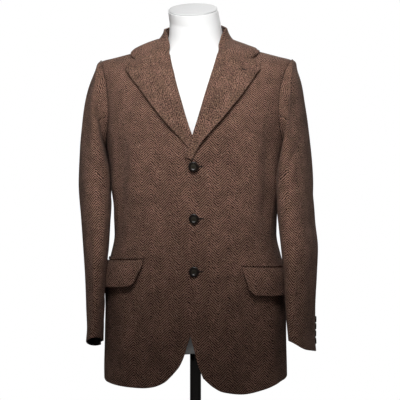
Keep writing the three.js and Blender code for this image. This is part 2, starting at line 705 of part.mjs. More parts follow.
function stand() {
  const { radius, edge, crown, hub, hubTop, sides } = base;
  const profile = [[0, 0], [radius - 3, 0], [radius, 3], [radius, edge], [radius - 4, edge + 3]];
  profile.push([hub + 14, crown], [hub, crown + 5], [hub, hubTop - 3], [hub - 3, hubTop], [0, hubTop]);
  const disc = new THREE.LatheGeometry(profile.map(([x, y]) => new THREE.Vector2(x, y)), sides);
  add("stand_base", disc, materials.chrome).rotation.x = Math.PI / 2;
  const from = hubTop + seamGap;
  const length = hemZ + formDepth[0][0] - seamGap - from;
  const tube = new THREE.CylinderGeometry(pole.radius, pole.radius, length, pole.sides);
  const mesh = add("stand_pole", tube, materials.chrome);
  mesh.rotation.x = Math.PI / 2;
  mesh.position.z = from + length / 2;
}

// ---------------------------------------------------------------- the whole

front("front_right", fronts.right);
front("front_left", fronts.left);
sidePanel("side_right", -1, fronts.right.hemAtSeam, 4);
sidePanel("side_left", 1, fronts.left.hemAtSeam, 10);
back("back_right", -1, 4);
back("back_left", 1, 10);
lapel("lapel_right", fronts.right);
lapel("lapel_left", fronts.left);
collarStand("collar_stand");
collarFall("collar_fall");

for (const [tag, f] of Object.entries(fronts)) {
  strip(`flap_${tag}`, f, { ...flapCut, height: f.flap.height });
  strip(`jet_${tag}`, f, jetCut);
}

for (const [tag, sleeve] of Object.entries(sleeves)) {
  const { front: ahead, back: behind, backAtCuff } = sleeveSeams;
  const surface = sleevePiece(`sleeve_top_${tag}`, sleeve, [behind - 1, backAtCuff - 1], [ahead, ahead], 11);
  sleevePiece(`sleeve_under_${tag}`, sleeve, [ahead, ahead], [behind, backAtCuff], 7);
  buttonsOn(surface, sleeve, tag);
}

frontButtons.levels.forEach((v, i) => {
  const q = buttonLine / block.quarter(v);
  const lift = frontLift(fronts.left)(q, v + frontButtons.radius / 2) + clothWall + frontButtons.off;
  const place = block.where(q, v, lift);
  button(`front_button_${i + 1}`, place, block.where(q, v, lift + 10).sub(place), frontButtons.radius);
});

dressForm();
stand();

export default jacket;
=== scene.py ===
import math
import bpy
import numpy as np
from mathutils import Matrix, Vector


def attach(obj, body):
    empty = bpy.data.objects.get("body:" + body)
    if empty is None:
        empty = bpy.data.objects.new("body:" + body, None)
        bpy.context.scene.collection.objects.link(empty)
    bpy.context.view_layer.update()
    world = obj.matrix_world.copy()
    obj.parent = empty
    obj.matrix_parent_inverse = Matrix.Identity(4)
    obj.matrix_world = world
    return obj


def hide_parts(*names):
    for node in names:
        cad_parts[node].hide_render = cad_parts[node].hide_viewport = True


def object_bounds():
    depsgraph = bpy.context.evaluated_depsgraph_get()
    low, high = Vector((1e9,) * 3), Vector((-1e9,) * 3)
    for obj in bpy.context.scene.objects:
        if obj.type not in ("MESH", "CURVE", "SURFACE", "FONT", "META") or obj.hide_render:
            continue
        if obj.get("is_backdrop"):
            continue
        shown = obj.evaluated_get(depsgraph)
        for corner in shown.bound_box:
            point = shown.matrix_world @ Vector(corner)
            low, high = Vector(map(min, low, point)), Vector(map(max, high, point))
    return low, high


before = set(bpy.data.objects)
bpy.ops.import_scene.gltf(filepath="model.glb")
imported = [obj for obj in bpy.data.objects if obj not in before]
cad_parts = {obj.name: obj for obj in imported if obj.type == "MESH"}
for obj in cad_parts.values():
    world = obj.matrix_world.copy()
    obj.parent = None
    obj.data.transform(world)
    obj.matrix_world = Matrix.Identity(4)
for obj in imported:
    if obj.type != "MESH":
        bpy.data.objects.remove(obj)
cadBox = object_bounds()
print("frame loaded", len(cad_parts), "nodes")

# The jacket hangs on a form that faces -Y. Drafting is in millimetres, as in the pattern; a place is
# (q, v) on a block round the body: q is 0 at centre front, 1 at the side, 2 at centre back, and v is
# the height above the hem. The lift is how far a place stands off the block.
metre = 0.001

camera = {"around": 6, "away": 2.1, "height": 0.812, "lens": 84, "sensor": 36, "shift": (0.01125, -0.1625)}


def makeCamera():
    data = bpy.data.cameras.new("camera")
    data.lens = camera["lens"]
    data.sensor_width = camera["sensor"]
    data.shift_x, data.shift_y = camera["shift"]
    data.clip_start = 0.05
    item = bpy.data.objects.new("camera", data)
    around = math.radians(camera["around"])
    away = camera["away"]
    item.location = (away * math.sin(around), -away * math.cos(around), camera["height"])
    item.rotation_euler = (math.pi / 2, 0, around)
    bpy.context.scene.collection.objects.link(item)
    bpy.context.scene.camera = item


makeCamera()
print("camera placed")


# Curves

def smooth(a, b, x):
    t = np.clip((np.asarray(x, float) - a) / (b - a), 0, 1)
    return t * t * (3 - 2 * t)


def mix(a, b, t):
    return a + (b - a) * t


def steps(count):
    return np.linspace(0, 1, count + 1)


def curveThrough(rows):
    rows = np.array(rows, float)
    at, values = rows[:, 0], rows[:, 1:]
    gaps = np.diff(at)
    rates = np.diff(values, axis=0) / gaps[:, None]
    slopes = np.zeros_like(values)
    slopes[0], slopes[-1] = rates[0], rates[-1]
    product = rates[:-1] * rates[1:]
    total = rates[:-1] + rates[1:]
    slopes[1:-1] = np.where(product > 0, 2 * product / np.where(total == 0, 1, total), 0)

    def curve(x):
        x = np.clip(np.asarray(x, float), at[0], at[-1])
        i = np.clip(np.searchsorted(at, x, side="left") - 1, 0, len(at) - 2)
        h = gaps[i]
        t = ((x - at[i]) / h)[..., None]
        p, q = values[i], values[i + 1]
        m, n = slopes[i] * h[..., None], slopes[i + 1] * h[..., None]
        return p + t * (m + t * (3 * (q - p) - 2 * m - n + t * (2 * (p - q) + m + n)))

    return curve


# How far along its row each place of a grid lies
def runs(grid):
    lengths = np.cumsum(np.linalg.norm(np.diff(grid, axis=1), axis=2), axis=1)
    return np.concatenate([np.zeros((len(grid), 1)), lengths], axis=1)


def along(points, count):
    points = np.array(points, float)
    lengths = runs(points[None])[0]
    return curveThrough(np.column_stack([lengths / lengths[-1], points]))(steps(count))


block = {
    "hemZ": 267,
    # v, how far the cloth stands aside there, towards the wearer's left
    "aside": [[740, 0], [760, 1.8], [775, 3.4], [790, 3.4], [806, 2], [836, 0]],
    "samples": 180,
    "quarter": 290,
    "near": 0.006,
    "flatFrom": (640, 725),
    # v, then zS, zF, zB: height at side, front and back; half width; yF, yB, yS: depth at front, back
    # and side; nF, nB: how square the ring is in front and behind
    "rings": [
        [-20, -20, -20, -20, 204, -131, 131, 0, 2.3, 2.3], [80, 80, 80, 80, 202.5, -132, 134, 0, 2.3, 2.3],
        [157, 157, 157, 157, 201, -132, 134, 0, 2.3, 2.3],
        [230, 230, 230, 230, 202, -131, 129, 0, 2.3, 2.3],
        [275, 275, 275, 275, 189, -129, 119, 0, 2.3, 2.25],
        [325, 325, 325, 325, 179, -128, 111, 0, 2.3, 2.25],
        [380, 380, 380, 380, 182, -130, 112, 1, 2.3, 2.25],
        [440, 440, 440, 440, 192, -135, 120, 2, 2.25, 2.3],
        [515, 515, 515, 515, 198, -138, 130, 4, 2.2, 2.4],
        [580, 578, 574, 578, 206, -133, 134, 6, 2.2, 2.5],
        [640, 636, 625, 636, 214, -121, 131, 8, 2.2, 2.5],
        [690, 683, 660, 684, 219, -106, 122, 9, 2.15, 2.4],
        [715, 702, 677, 704, 220, -97, 115, 9, 2.1, 2.3], [733, 710, 688, 718, 214, -91, 109, 8, 2.1, 2.2],
        [750, 718, 699, 731, 184, -86, 102, 7, 2.1, 2.2], [770, 729, 712, 747, 141, -81, 93, 5, 2.1, 2.1],
        [785, 738, 722, 759, 106, -77, 84, 3, 2.1, 2.1], [800, 752, 733, 772, 75, -73, 74, 0, 2.05, 2.05],
        [814, 772, 750, 788, 67, -70, 63, -4, 2, 2], [836, 797, 780, 812, 64, -68, 56, -8, 2, 2],
    ],
}

# Soft folds in the body's cloth: q (towards the wearer's left is plus) and v at both ends, how wide,
# how deep (plus stands out), and how far the fold bows, in millimetres.
bodyFolds = [
    # left side
    [0.66, 600, 0.7, 330, 21, -5.5, 5], [0.52, 560, 0.6, 400, 24, 2.2, -4],
    [0.1, 372, 0.52, 396, 11, -1.8, 4], [0.1, 362, 0.44, 330, 12, -1.6, -3],
    [0.12, 474, 0.5, 560, 13, -1.9, 5], [0.5, 205, 0.47, 15, 24, -5, -4], [0.3, 225, 0.31, 25, 30, 2.6, 4],
    [0.72, 230, 0.7, 30, 22, 3, 3], [0.42, 700, 0.56, 610, 18, -1.8, 6],
    [0.84, 520, 0.96, 380, 20, -3.5, 4],
    # right side
    [-0.56, 580, -0.68, 345, 22, -5, -5], [-0.44, 540, -0.5, 380, 25, 2, 5],
    [-0.02, 362, -0.45, 402, 12, -2, 5], [-0.05, 352, -0.4, 318, 12, -1.5, -4],
    [-0.05, 466, -0.42, 540, 14, -1.6, -5], [-0.34, 165, -0.37, 12, 26, -4.4, 4],
    [-0.56, 200, -0.55, 25, 24, 2.8, -4], [-0.1, 246, -0.2, 150, 14, -2.6, 4],
    [-0.4, 690, -0.55, 600, 17, -1.7, -6], [-0.86, 500, -0.94, 370, 20, -3.4, -4],
    # back
    [1.55, 640, 1.62, 420, 26, -4.2, 6], [-1.5, 620, -1.6, 400, 24, -3.8, -6],
    [1.2, 600, 1.32, 380, 22, -3.6, 5], [-1.24, 590, -1.3, 360, 21, -4, 4],
    [1.82, 420, 1.35, 350, 15, -2.2, 6], [-1.84, 405, -1.4, 365, 14, -2.4, -5],
    [1.6, 240, 1.56, 20, 28, 4, 4], [-1.55, 250, -1.5, 25, 26, 4.2, -5], [1.33, 230, 1.3, 20, 24, -4.4, 4],
    [-1.32, 215, -1.28, 15, 25, -4.6, 3], [1.9, 700, 1.5, 650, 16, -1.6, 5],
    [-1.88, 690, -1.52, 655, 15, -1.8, -4],
]
# Slow unevenness of the whole cloth: waves round, waves up, shift, height
bodyWaves = [
    [0.031, 0.011, 0.3, 0.55], [-0.017, 0.037, 1.9, 0.45], [0.052, -0.021, 4.1, 0.35],
    [0.009, 0.061, 2.6, 0.3],
]


# Where along its length a fold rises and where it dies away
foldEnds = {"start": (-0.12, 0.3), "end": (0.7, 1.12)}


# The height of folds over a cloth that closes on itself after wrap; the turns of the folds are shares of it
def foldShape(across, up, folds, wrap, turns=1):
    height = np.zeros(np.broadcast(across, up).shape)
    for a0, u0, a1, u1, wide, deep, bow in folds:
        a0, a1 = a0 * wrap / turns, a1 * wrap / turns
        dx, dy = a1 - a0, u1 - u0
        long = math.hypot(dx, dy)
        px = np.mod(across - a0 + wrap / 2, wrap) - wrap / 2
        py = up - u0
        t = (px * dx + py * dy) / long**2
        off = (px * dy - py * dx) / long - bow * 4 * np.clip(t, 0, 1) * np.clip(1 - t, 0, 1)
        fade = smooth(*foldEnds["start"], t) * (1 - smooth(*foldEnds["end"], t))
        height += deep * np.exp(-((off / wide) ** 2)) * fade
    return height


def wavesAt(across, up, waves):
    return sum(high * np.sin(a * across + b * up + c) for a, b, c, high in waves)


def foldsAt(q, v, side):
    across = q * side * block["quarter"]
    shape = foldShape(across, v, bodyFolds, 4 * block["quarter"], 4) + wavesAt(across, v, bodyWaves)
    return shape * (1 - smooth(*block["flatFrom"], v))


def tabulateBlock():
    levels = np.arange(-21, 838, dtype=float)
    rows = curveThrough(block["rings"])(levels)
    zS, zF, zB, half, yF, yB, yS, nF, nB = rows.T[:, :, None]
    share = steps(block["samples"])
    parts, quarter = [], None
    for part, (n, y, z) in enumerate([(nF, yF, zF), (nB, yB, zB)]):
        angle = (part + share[None, :]) * math.pi / 2
        s, c = np.abs(np.sin(angle)), np.abs(np.cos(angle))
        ring = np.stack([half * s ** (2 / n), mix(yS, y, c ** (2 / n)), mix(zS, z, c**2)], axis=-1)
        lengths = runs(ring)
        even = np.empty_like(ring)
        for i in range(len(levels)):
            for k in range(3):
                even[i, :, k] = np.interp(share * lengths[i, -1], lengths[i], ring[i, :, k])
        parts.append(even if part == 0 else even[:, 1:])
        quarter = lengths[:, -1] if part == 0 else quarter
    return levels, np.concatenate(parts, axis=1), quarter, rows


blockLevels, blockTable, quarterTable, blockRows = tabulateBlock()


def quarterAt(v):
    return np.interp(v, blockLevels, quarterTable)


def surfaceAt(q, v):
    q = np.mod(q, 4)
    away = np.where(q > 2, 4 - q, q)
    x = np.clip(away * block["samples"], 0, 2 * block["samples"] - 1e-6)
    y = np.clip(v - blockLevels[0], 0, len(blockLevels) - 1 - 1e-6)
    i, j = x.astype(int), y.astype(int)
    a, b = (x - i)[..., None], (y - j)[..., None]
    low = mix(blockTable[j, i], blockTable[j, i + 1], a)
    high = mix(blockTable[j + 1, i], blockTable[j + 1, i + 1], a)
    place = mix(low, high, b)
    place[..., 0] = np.where(q > 2, -place[..., 0], place[..., 0])
    return place


def unit(vectors):
    return vectors / np.maximum(np.linalg.norm(vectors, axis=-1, keepdims=True), 1e-9)


asideAt = curveThrough(block["aside"])


def where(q, v, lift=0, side=1, folded=True):
    q, v = np.broadcast_arrays(np.asarray(q, float), np.asarray(v, float))
    ahead = surfaceAt(q + block["near"], v) - surfaceAt(q - block["near"], v)
    out = unit(np.cross(ahead, surfaceAt(q, v + 1) - surfaceAt(q, v - 1)))
    off = lift + (foldsAt(q, v, side) if folded else 0)
    place = surfaceAt(q, v) + out * np.broadcast_to(off, q.shape)[..., None]
    place[..., 0] = place[..., 0] * side + asideAt(v)[..., 0]
    place[..., 2] += block["hemZ"]
    return place * metre


def onFront(points):
    points = np.asarray(points, float)
    return np.column_stack([points[:, 0] / quarterAt(points[:, 1]), points[:, 1]])


print("block drafted")


# Materials

# Sets a socket, or links another node's output to it
def plug(tree, socket, value):
    if isinstance(value, (int, float)):
        socket.default_value = value
    elif isinstance(value, tuple):
        socket.default_value = (*value, 1) if len(socket.default_value) == 4 else value
    else:
        tree.links.new(value, socket)


def addNode(tree, kind, inputs, **traits):
    node = tree.nodes.new("ShaderNode" + kind)
    for trait, value in traits.items():
        setattr(node, trait, value)
    for label, value in inputs.items():
        plug(tree, node.inputs[label], value)
    return node.outputs


def newGroup(name, inputs, outputs):
    group = bpy.data.node_groups.new(name, "ShaderNodeTree")
    for label, value in inputs.items():
        kind = "NodeSocketVector" if isinstance(value, tuple) else "NodeSocketFloat"
        group.interface.new_socket(label, in_out="INPUT", socket_type=kind).default_value = value
    for label in outputs:
        group.interface.new_socket(label, in_out="OUTPUT", socket_type="NodeSocketFloat")
    return group, group.nodes.new("NodeGroupInput").outputs, group.nodes.new("NodeGroupOutput").inputs


def maths(tree, operation, *values, clamp=False):
    return addNode(tree, "Math", dict(enumerate(values)), operation=operation, use_clamp=clamp)[0]


def noiseAt(tree, vector, scale, detail=2.0, roughness=0.5):
    inputs = {"Vector": vector, "Scale": scale, "Detail": detail, "Roughness": roughness}
    return addNode(tree, "TexNoise", inputs)["Fac"]


def between01(tree, value, low, high):
    inputs = {"Value": value, "From Min": low, "From Max": high}
    return addNode(tree, "MapRange", inputs, interpolation_type="SMOOTHSTEP")["Result"]


def mixColour(tree, share, a, b, how="MIX"):
    return addNode(tree, "Mix", {0: share, 6: a, 7: b}, data_type="RGBA", blend_type=how)[2]


def lengthOf(tree, vector):
    return addNode(tree, "VectorMath", {0: vector}, operation="LENGTH")["Value"]


weave = {
    "inputs": {"Cloth": (0, 0, 0), "Column": 0.0205, "Pitch": 0.0054, "Wander": 0.003, "Twill": 0.45},
    "drift": {"scale": 140},
    "yarn": {"scale": 400, "detail": 3, "roughness": 0.7},
    "fuzz": {"scale": 1700, "detail": 2, "roughness": 0.6},
    "relief": (0.7, 0.5),  # of the ribs and of the fuzz
}


# Herringbone twill in cloth metres: Ribs is 0 to 1 across each twill line, Height is its relief
def makeHerringbone():
    tree, given, result = newGroup("herringbone", weave["inputs"], ("Ribs", "Height"))
    drift, yarn, fuzz = (noiseAt(tree, given["Cloth"], **weave[part]) for part in ("drift", "yarn", "fuzz"))
    split = addNode(tree, "SeparateXYZ", {0: given["Cloth"]})
    drift = maths(tree, "MULTIPLY", maths(tree, "SUBTRACT", drift, 0.5), given["Wander"])
    zigzag = maths(tree, "PINGPONG", maths(tree, "ADD", split[0], drift), given["Column"])
    height = maths(tree, "ADD", maths(tree, "ADD", split[1], drift), zigzag)
    phase = maths(tree, "MULTIPLY", maths(tree, "DIVIDE", height, given["Pitch"]), 2 * math.pi)
    wave = maths(tree, "MULTIPLY_ADD", maths(tree, "SINE", phase), 0.5, 0.5)
    lines = maths(tree, "MULTIPLY", wave, given["Twill"])
    loose = maths(tree, "MULTIPLY", yarn, maths(tree, "SUBTRACT", 1.0, given["Twill"]))
    ribs = maths(tree, "ADD", lines, loose, clamp=True)
    relief = [maths(tree, "MULTIPLY", part, high) for part, high in zip((ribs, fuzz), weave["relief"])]
    plug(tree, result["Ribs"], ribs)
    plug(tree, result["Height"], maths(tree, "ADD", *relief))
    return tree


# From which noise each mask of the wool comes, and between which two values it rises from 0 to 1
mottle = {
    "inputs": {"Place": (0, 0, 0), "Patch": 34, "Fleck": 330},
    "noises": {  # input, times, detail, roughness, shift
        "patch": ("Patch", 1, 5, 0.68, 0),
        "warmth": ("Patch", 1.7, 3, 0.6, 3.1),
        "fleck": ("Fleck", 1, 2, 0.5, 7.7),
    },
    "masks": {
        "Patches": ("patch", 0.3, 0.7),
        "Warm": ("warmth", 0.35, 0.65),
        "Dark": ("fleck", 0.36, 0.28),
        "Light": ("fleck", 0.64, 0.74),
    },
}


# Mottled wool: slow patches and scattered flecks
def makeMottle():
    tree, given, result = newGroup("woolMottle", mottle["inputs"], mottle["masks"])
    noises = {}
    for name, (label, times, detail, roughness, shift) in mottle["noises"].items():
        move = {0: given["Place"], 1: (shift, shift * 0.7, -shift)}
        moved = addNode(tree, "VectorMath", move, operation="ADD")[0]
        noises[name] = noiseAt(tree, moved, maths(tree, "MULTIPLY", given[label], times), detail, roughness)
    for label, (name, low, high) in mottle["masks"].items():
        plug(tree, result[label], between01(tree, noises[name], low, high))
    return tree


herringbone = makeHerringbone()
woolMottle = makeMottle()


def newMaterial(name, **finish):
    item = bpy.data.materials.new(name)
    item.use_nodes = True
    shader = item.node_tree.nodes["Principled BSDF"]
    for label, value in finish.items():
        shader.inputs[label.replace("_", " ")].default_value = value
    return item, item.node_tree, shader


def bumped(tree, shader, height, strength, distance):
    inputs = {"Height": height, "Strength": strength, "Distance": distance}
    plug(tree, shader.inputs["Normal"], addNode(tree, "Bump", inputs)[0])


def clothPlace(tree):
    return addNode(tree, "UVMap", {}, uv_map="cloth")[0]


def bodyPlace(tree):
    return addNode(tree, "TexCoord", {})["Object"]


def grainAt(tree, place, stretch, detail, roughness=0.5):
    mapped = addNode(tree, "Mapping", {"Vector": place, "Scale": stretch})[0]
    return noiseAt(tree, mapped, 1, detail, roughness)


tweed = {
    "dark": (0.0125, 0.0052, 0.0034),
    "light": (0.295, 0.163, 0.121),
    "olive": (0.185, 0.128, 0.072),
    "fleck": (0.012, 0.006, 0.004),
    "pale": (0.36, 0.25, 0.19),
    "paleShare": 0.85,
    "fleckShare": 0.8,
    "relief": (0.8, 0.0011),
    "finish": {"Roughness": 0.94, "Specular_IOR_Level": 0.1, "Sheen_Weight": 0.03, "Sheen_Roughness": 0.6},
}


def makeTweed(name, ribContrast, patchDepth, olive, twill):
    item, tree, shader = newMaterial(name, **tweed["finish"])
    woven = addNode(tree, "Group", {"Cloth": clothPlace(tree), "Twill": twill}, node_tree=herringbone)
    wool = addNode(tree, "Group", {"Place": bodyPlace(tree)}, node_tree=woolMottle)
    ribs = between01(tree, woven["Ribs"], 0.5 - ribContrast, 0.5 + ribContrast)
    warm = maths(tree, "MULTIPLY", wool["Warm"], olive)
    colour = mixColour(tree, ribs, tweed["dark"], mixColour(tree, warm, tweed["light"], tweed["olive"]))
    shade = maths(tree, "MULTIPLY_ADD", wool["Patches"], patchDepth, 1 - patchDepth / 2)
    grey = addNode(tree, "CombineColor", {0: shade, 1: shade, 2: shade})[0]
    colour = mixColour(tree, 1.0, colour, grey, "MULTIPLY")
    for mask, share, tint in (("Light", "paleShare", "pale"), ("Dark", "fleckShare", "fleck")):
        colour = mixColour(tree, maths(tree, "MULTIPLY", wool[mask], tweed[share]), colour, tweed[tint])
    plug(tree, shader.inputs["Base Color"], colour)
    bumped(tree, shader, woven["Height"], *tweed["relief"])
    return item


tweedBody = makeTweed("tweedBody", ribContrast=0.05, patchDepth=0.42, olive=0.22, twill=0.27)
tweedLapel = makeTweed("tweedLapel", ribContrast=0.08, patchDepth=0.5, olive=0.3, twill=0.08)
tweedSleeve = makeTweed("tweedSleeve", ribContrast=0.075, patchDepth=0.45, olive=0.3, twill=0.26)

horn = {
    "grain": ((260, 90, 1), 4, 0.6),
    "rim": ((0.004, 0.0026, 0.002), (0.017, 0.010, 0.007)),
    "middle": ((0.014, 0.013, 0.009), (0.045, 0.041, 0.03)),
    "bowl": (0.58, 0.42),
    "rough": (0.25, 0.16),
    "relief": (0.15, 0.0004),
}


def makeHorn():
    item, tree, shader = newMaterial("buttonHorn", Specular_IOR_Level=0.35)
    place = clothPlace(tree)
    grain = grainAt(tree, place, *horn["grain"])
    rim, middle = (mixColour(tree, grain, *horn[part]) for part in ("rim", "middle"))
    inside = between01(tree, lengthOf(tree, place), *horn["bowl"])
    plug(tree, shader.inputs["Base Color"], mixColour(tree, inside, rim, middle))
    plug(tree, shader.inputs["Roughness"], maths(tree, "MULTIPLY_ADD", grain, *horn["rough"]))
    bumped(tree, shader, grain, *horn["relief"])
    return item


# Materials with one grain: how it is stretched, its detail, the colours it runs between, how much
# roughness it adds to what, and its relief. The form's colour changes more slowly than its grain.
plain = {
    "liningSatin": {
        "stretch": (3000, 400, 1), "detail": 2, "colours": ((0.006, 0.004, 0.0035), (0.014, 0.009, 0.008)),
        "relief": (0.2, 0.0003), "finish": {"Roughness": 0.5, "Specular_IOR_Level": 0.3},
    },
    "buttonThread": {
        "stretch": (1900,) * 3, "detail": 2, "colours": ((0.012, 0.007, 0.005), (0.05, 0.03, 0.02)),
        "relief": (0.6, 0.0005), "finish": {"Roughness": 0.8, "Specular_IOR_Level": 0.2},
    },
    "formWhite": {
        "stretch": (900,) * 3, "detail": 3, "colours": ((0.9, 0.9, 0.895), (0.94, 0.94, 0.935)), "slow": 9,
        "rough": (0.2, 0.38), "relief": (0.15, 0.0003), "finish": {"Specular_IOR_Level": 0.35},
    },
    "capGrey": {
        "stretch": (700,) * 3, "detail": 3, "colours": ((0.6, 0.6, 0.6), (0.72, 0.72, 0.72)),
        "rough": (0.2, 0.4), "relief": (0.2, 0.0003), "finish": {"Specular_IOR_Level": 0.35},
    },
    "standSteel": {
        "stretch": (1500, 1500, 60), "detail": 3, "colours": ((0.02, 0.019, 0.018), (0.05, 0.047, 0.045)),
        "rough": (0.14, 0.1), "relief": (0.08, 0.0002), "finish": {"Metallic": 1.0},
    },
}


def makePlain(name):
    look = plain[name]
    item, tree, shader = newMaterial(name, **look["finish"])
    place = clothPlace(tree) if name == "liningSatin" else bodyPlace(tree)
    grain = grainAt(tree, place, look["stretch"], look["detail"])
    tone = noiseAt(tree, place, look["slow"]) if "slow" in look else grain
    plug(tree, shader.inputs["Base Color"], mixColour(tree, tone, *look["colours"]))
    if "rough" in look:
        plug(tree, shader.inputs["Roughness"], maths(tree, "MULTIPLY_ADD", grain, *look["rough"]))
    bumped(tree, shader, grain, *look["relief"])
    return item


buttonHorn = makeHorn()
lining, thread, jersey, capGrey, steel = (makePlain(name) for name in plain)
print("materials made")


# Meshes

def makeMesh(name, places, faces, cloth, materials, faceMaterial=None):
    data = bpy.data.meshes.new(name)
    data.from_pydata([tuple(p) for p in np.asarray(places).reshape(-1, 3).tolist()], [], faces)
    layer = data.uv_layers.new(name="cloth")
    corners = np.zeros(len(data.loops), dtype=int)
    data.loops.foreach_get("vertex_index", corners)
    layer.data.foreach_set("uv", np.asarray(cloth, float).reshape(-1, 2)[corners].ravel())
    for material in materials:
        data.materials.append(material)
    if faceMaterial is not None:
        data.polygons.foreach_set("material_index", faceMaterial)
    data.polygons.foreach_set("use_smooth", np.ones(len(faces), dtype=bool))
    data.update()
    item = bpy.data.objects.new(name, data)
    bpy.context.scene.collection.objects.link(item)
    return item


def quads(rows, columns, start, wrap=False):
    ids = start + np.arange(rows * columns).reshape(rows, columns)
    if wrap:
        ids = np.concatenate([ids, ids[:, :1]], axis=1)
    return np.stack([ids[:-1, :-1], ids[:-1, 1:], ids[1:, 1:], ids[1:, :-1]], axis=-1).reshape(-1, 4)


# The cloth's own measure, in metres: across from a column of the grid and up along it
def measured(grid, anchor):
    across = runs(grid)
    across = across - across[:, anchor : anchor + 1]
    up = runs(grid[:, anchor][None])[0]
    return np.stack([across, np.broadcast_to(up[:, None], across.shape)], axis=-1)


edgeRound = {"free": 1.0, "sewn": 0.3}


# A closed shell of cloth between an outer and an inner grid, with rounded edges
def shell(name, outer, inner, cloth, faceCloth, backCloth, sewn=()):
    rows, columns = outer.shape[:2]
    edge = [(0, i) for i in range(columns)] + [(j, columns - 1) for j in range(1, rows)]
    edge += [(rows - 1, i) for i in range(columns - 2, -1, -1)] + [(j, 0) for j in range(rows - 2, 0, -1)]
    js, ks = np.array(edge).T
    sides = {"low": js == 0, "high": js == rows - 1, "first": ks == 0, "last": ks == columns - 1}
    middle = (outer + inner) / 2
    right, up = unit(np.gradient(middle, axis=1)), unit(np.gradient(middle, axis=0))
    turnRight = sides["last"] * 1.0 - sides["first"]
    turnUp = sides["high"] * 1.0 - sides["low"]
    away = unit(right[js, ks] * turnRight[:, None] + up[js, ks] * turnUp[:, None])
    thick = np.linalg.norm(outer - inner, axis=-1)[js, ks][:, None] / 2
    out = unit(outer - inner)[js, ks]
    flat = sum((sides[side] for side in sewn), np.zeros(len(edge), dtype=bool))
    bulge = thick * np.where(flat, edgeRound["sewn"], edgeRound["free"])[:, None]
    centre = middle[js, ks] - away * bulge
    angles = np.radians([0, 45, 90, 135, 180])
    loops = [centre + thick * out * math.cos(a) + bulge * away * math.sin(a) for a in angles]
    outer, inner = outer.copy(), inner.copy()
    outer[js, ks], inner[js, ks] = loops[0], loops[4]
    places = np.concatenate([outer.reshape(-1, 3), inner.reshape(-1, 3), *loops[1:4]])
    cloths = np.concatenate([cloth.reshape(-1, 2), cloth.reshape(-1, 2), *[cloth[js, ks]] * 3])
    size, ring = rows * columns, len(edge)
    top, under = quads(rows, columns, 0), quads(rows, columns, size)[:, ::-1]
    first = js * columns + ks
    chain = [first] + [2 * size + k * ring + np.arange(ring) for k in range(3)] + [size + first]
    rims = [np.stack([a, b, np.roll(b, -1), np.roll(a, -1)], axis=-1) for a, b in zip(chain, chain[1:])]
    faces = np.concatenate([top, under, *rims])
    corner = places[top[:, 0]]
    normal = np.cross(places[top[:, 1]] - corner, places[top[:, 3]] - corner)
    if (normal * (corner - places[top[:, 0] + size])).sum() < 0:
        faces = faces[:, ::-1]
    kinds = np.zeros(len(faces), dtype=int)
    kinds[len(top) : len(top) + len(under)] = faceCloth != backCloth
    materials = [faceCloth] if faceCloth == backCloth else [faceCloth, backCloth]
    return makeMesh(name, places, faces.tolist(), cloths, materials, kinds)


def gridArea(grid):
    a, b = grid[1:, 1:] - grid[:-1, :-1], grid[1:, :-1] - grid[:-1, 1:]
    return float(np.linalg.norm(np.cross(a, b), axis=-1).sum() / 2)


def claim(piece, slot, *nodes):
    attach(piece, "root")
    if nodes:
        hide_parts(*nodes)


# Hangs a piece of cloth on the root and hides its CAD node; the widest and longest of the piece and its area
# are worked out but not kept
def declare(piece, node, grid):
    claim(piece, "tweed", node)
    width = np.linalg.norm(np.diff(grid, axis=1), axis=2).sum(axis=1).max()
    length = np.linalg.norm(np.diff(grid, axis=0), axis=2).sum(axis=0).max()
    area = round(gridArea(grid), 4)


# A grid of (q, v) between four edges
def patch(bottom, top, inner, outer):
    bottom, top, inner, outer = (np.asarray(x, float) for x in (bottom, top, inner, outer))
    a = steps(len(bottom) - 1)[None, :, None]
    b = steps(len(inner) - 1)[:, None, None]
    corner = mix(mix(bottom[0], bottom[-1], a), mix(top[0], top[-1], a), b)
    return mix(bottom[None], top[None], b) + mix(inner[:, None], outer[:, None], a) - corner


wallThick = 2
layerGap = 1.2
seamGap = 0.3
neckV = 797
shoulderV = 733
armhole = {"middle": 624, "half": 109, "reach": 0.278, "front": 0.3525, "back": 0.6475}
fineness = 8  # how much finer the cloth is drafted than its pattern
rowsTo = {"armhole": 13 * fineness, "shoulder": 8 * fineness, "neck": 3 * fineness}
totalRows = sum(rowsTo.values())
columns = {"front": 60, "side": 32, "back": 72, "lapel": 48}


def armholeAt(turn, grow=0):
    a = np.asarray(turn, float) * 2 * math.pi
    q = 1 - (armhole["reach"] + grow / block["quarter"]) * np.sin(a)
    return np.stack([q, armhole["middle"] + (armhole["half"] + grow) * np.cos(a)], axis=-1)


frontTop, backTop = armholeAt(armhole["front"]), armholeAt(armhole["back"])
frontSeam = curveThrough([[-20, 0.8], [150, 0.79], [325, 0.77], [frontTop[1], frontTop[0]]])
backSeam = curveThrough([[-20, 1.22], [150, 1.22], [325, 1.24], [backTop[1], backTop[0]]])


def gapAt(v):
    return seamGap / 2 / quarterAt(v)


def seamEdge(seam, turn, hem, away):
    v = mix(hem, armholeAt(turn)[1], steps(rowsTo["armhole"]))
    down = np.column_stack([seam(v)[:, 0] + away * gapAt(v), v])
    end = 0 if turn < 0.5 else 1
    rim = armholeAt(mix(turn, end, steps(rowsTo["shoulder"])[1:]))
    inward = mix(shoulderV, neckV, steps(rowsTo["neck"])[1:])
    rest = np.concatenate([rim, np.column_stack([np.ones_like(inward), inward])])
    rest[:, 0] += np.where(rest[:, 1] > shoulderV - 1, away * gapAt(rest[:, 1]), 0)
    return np.concatenate([down, rest])


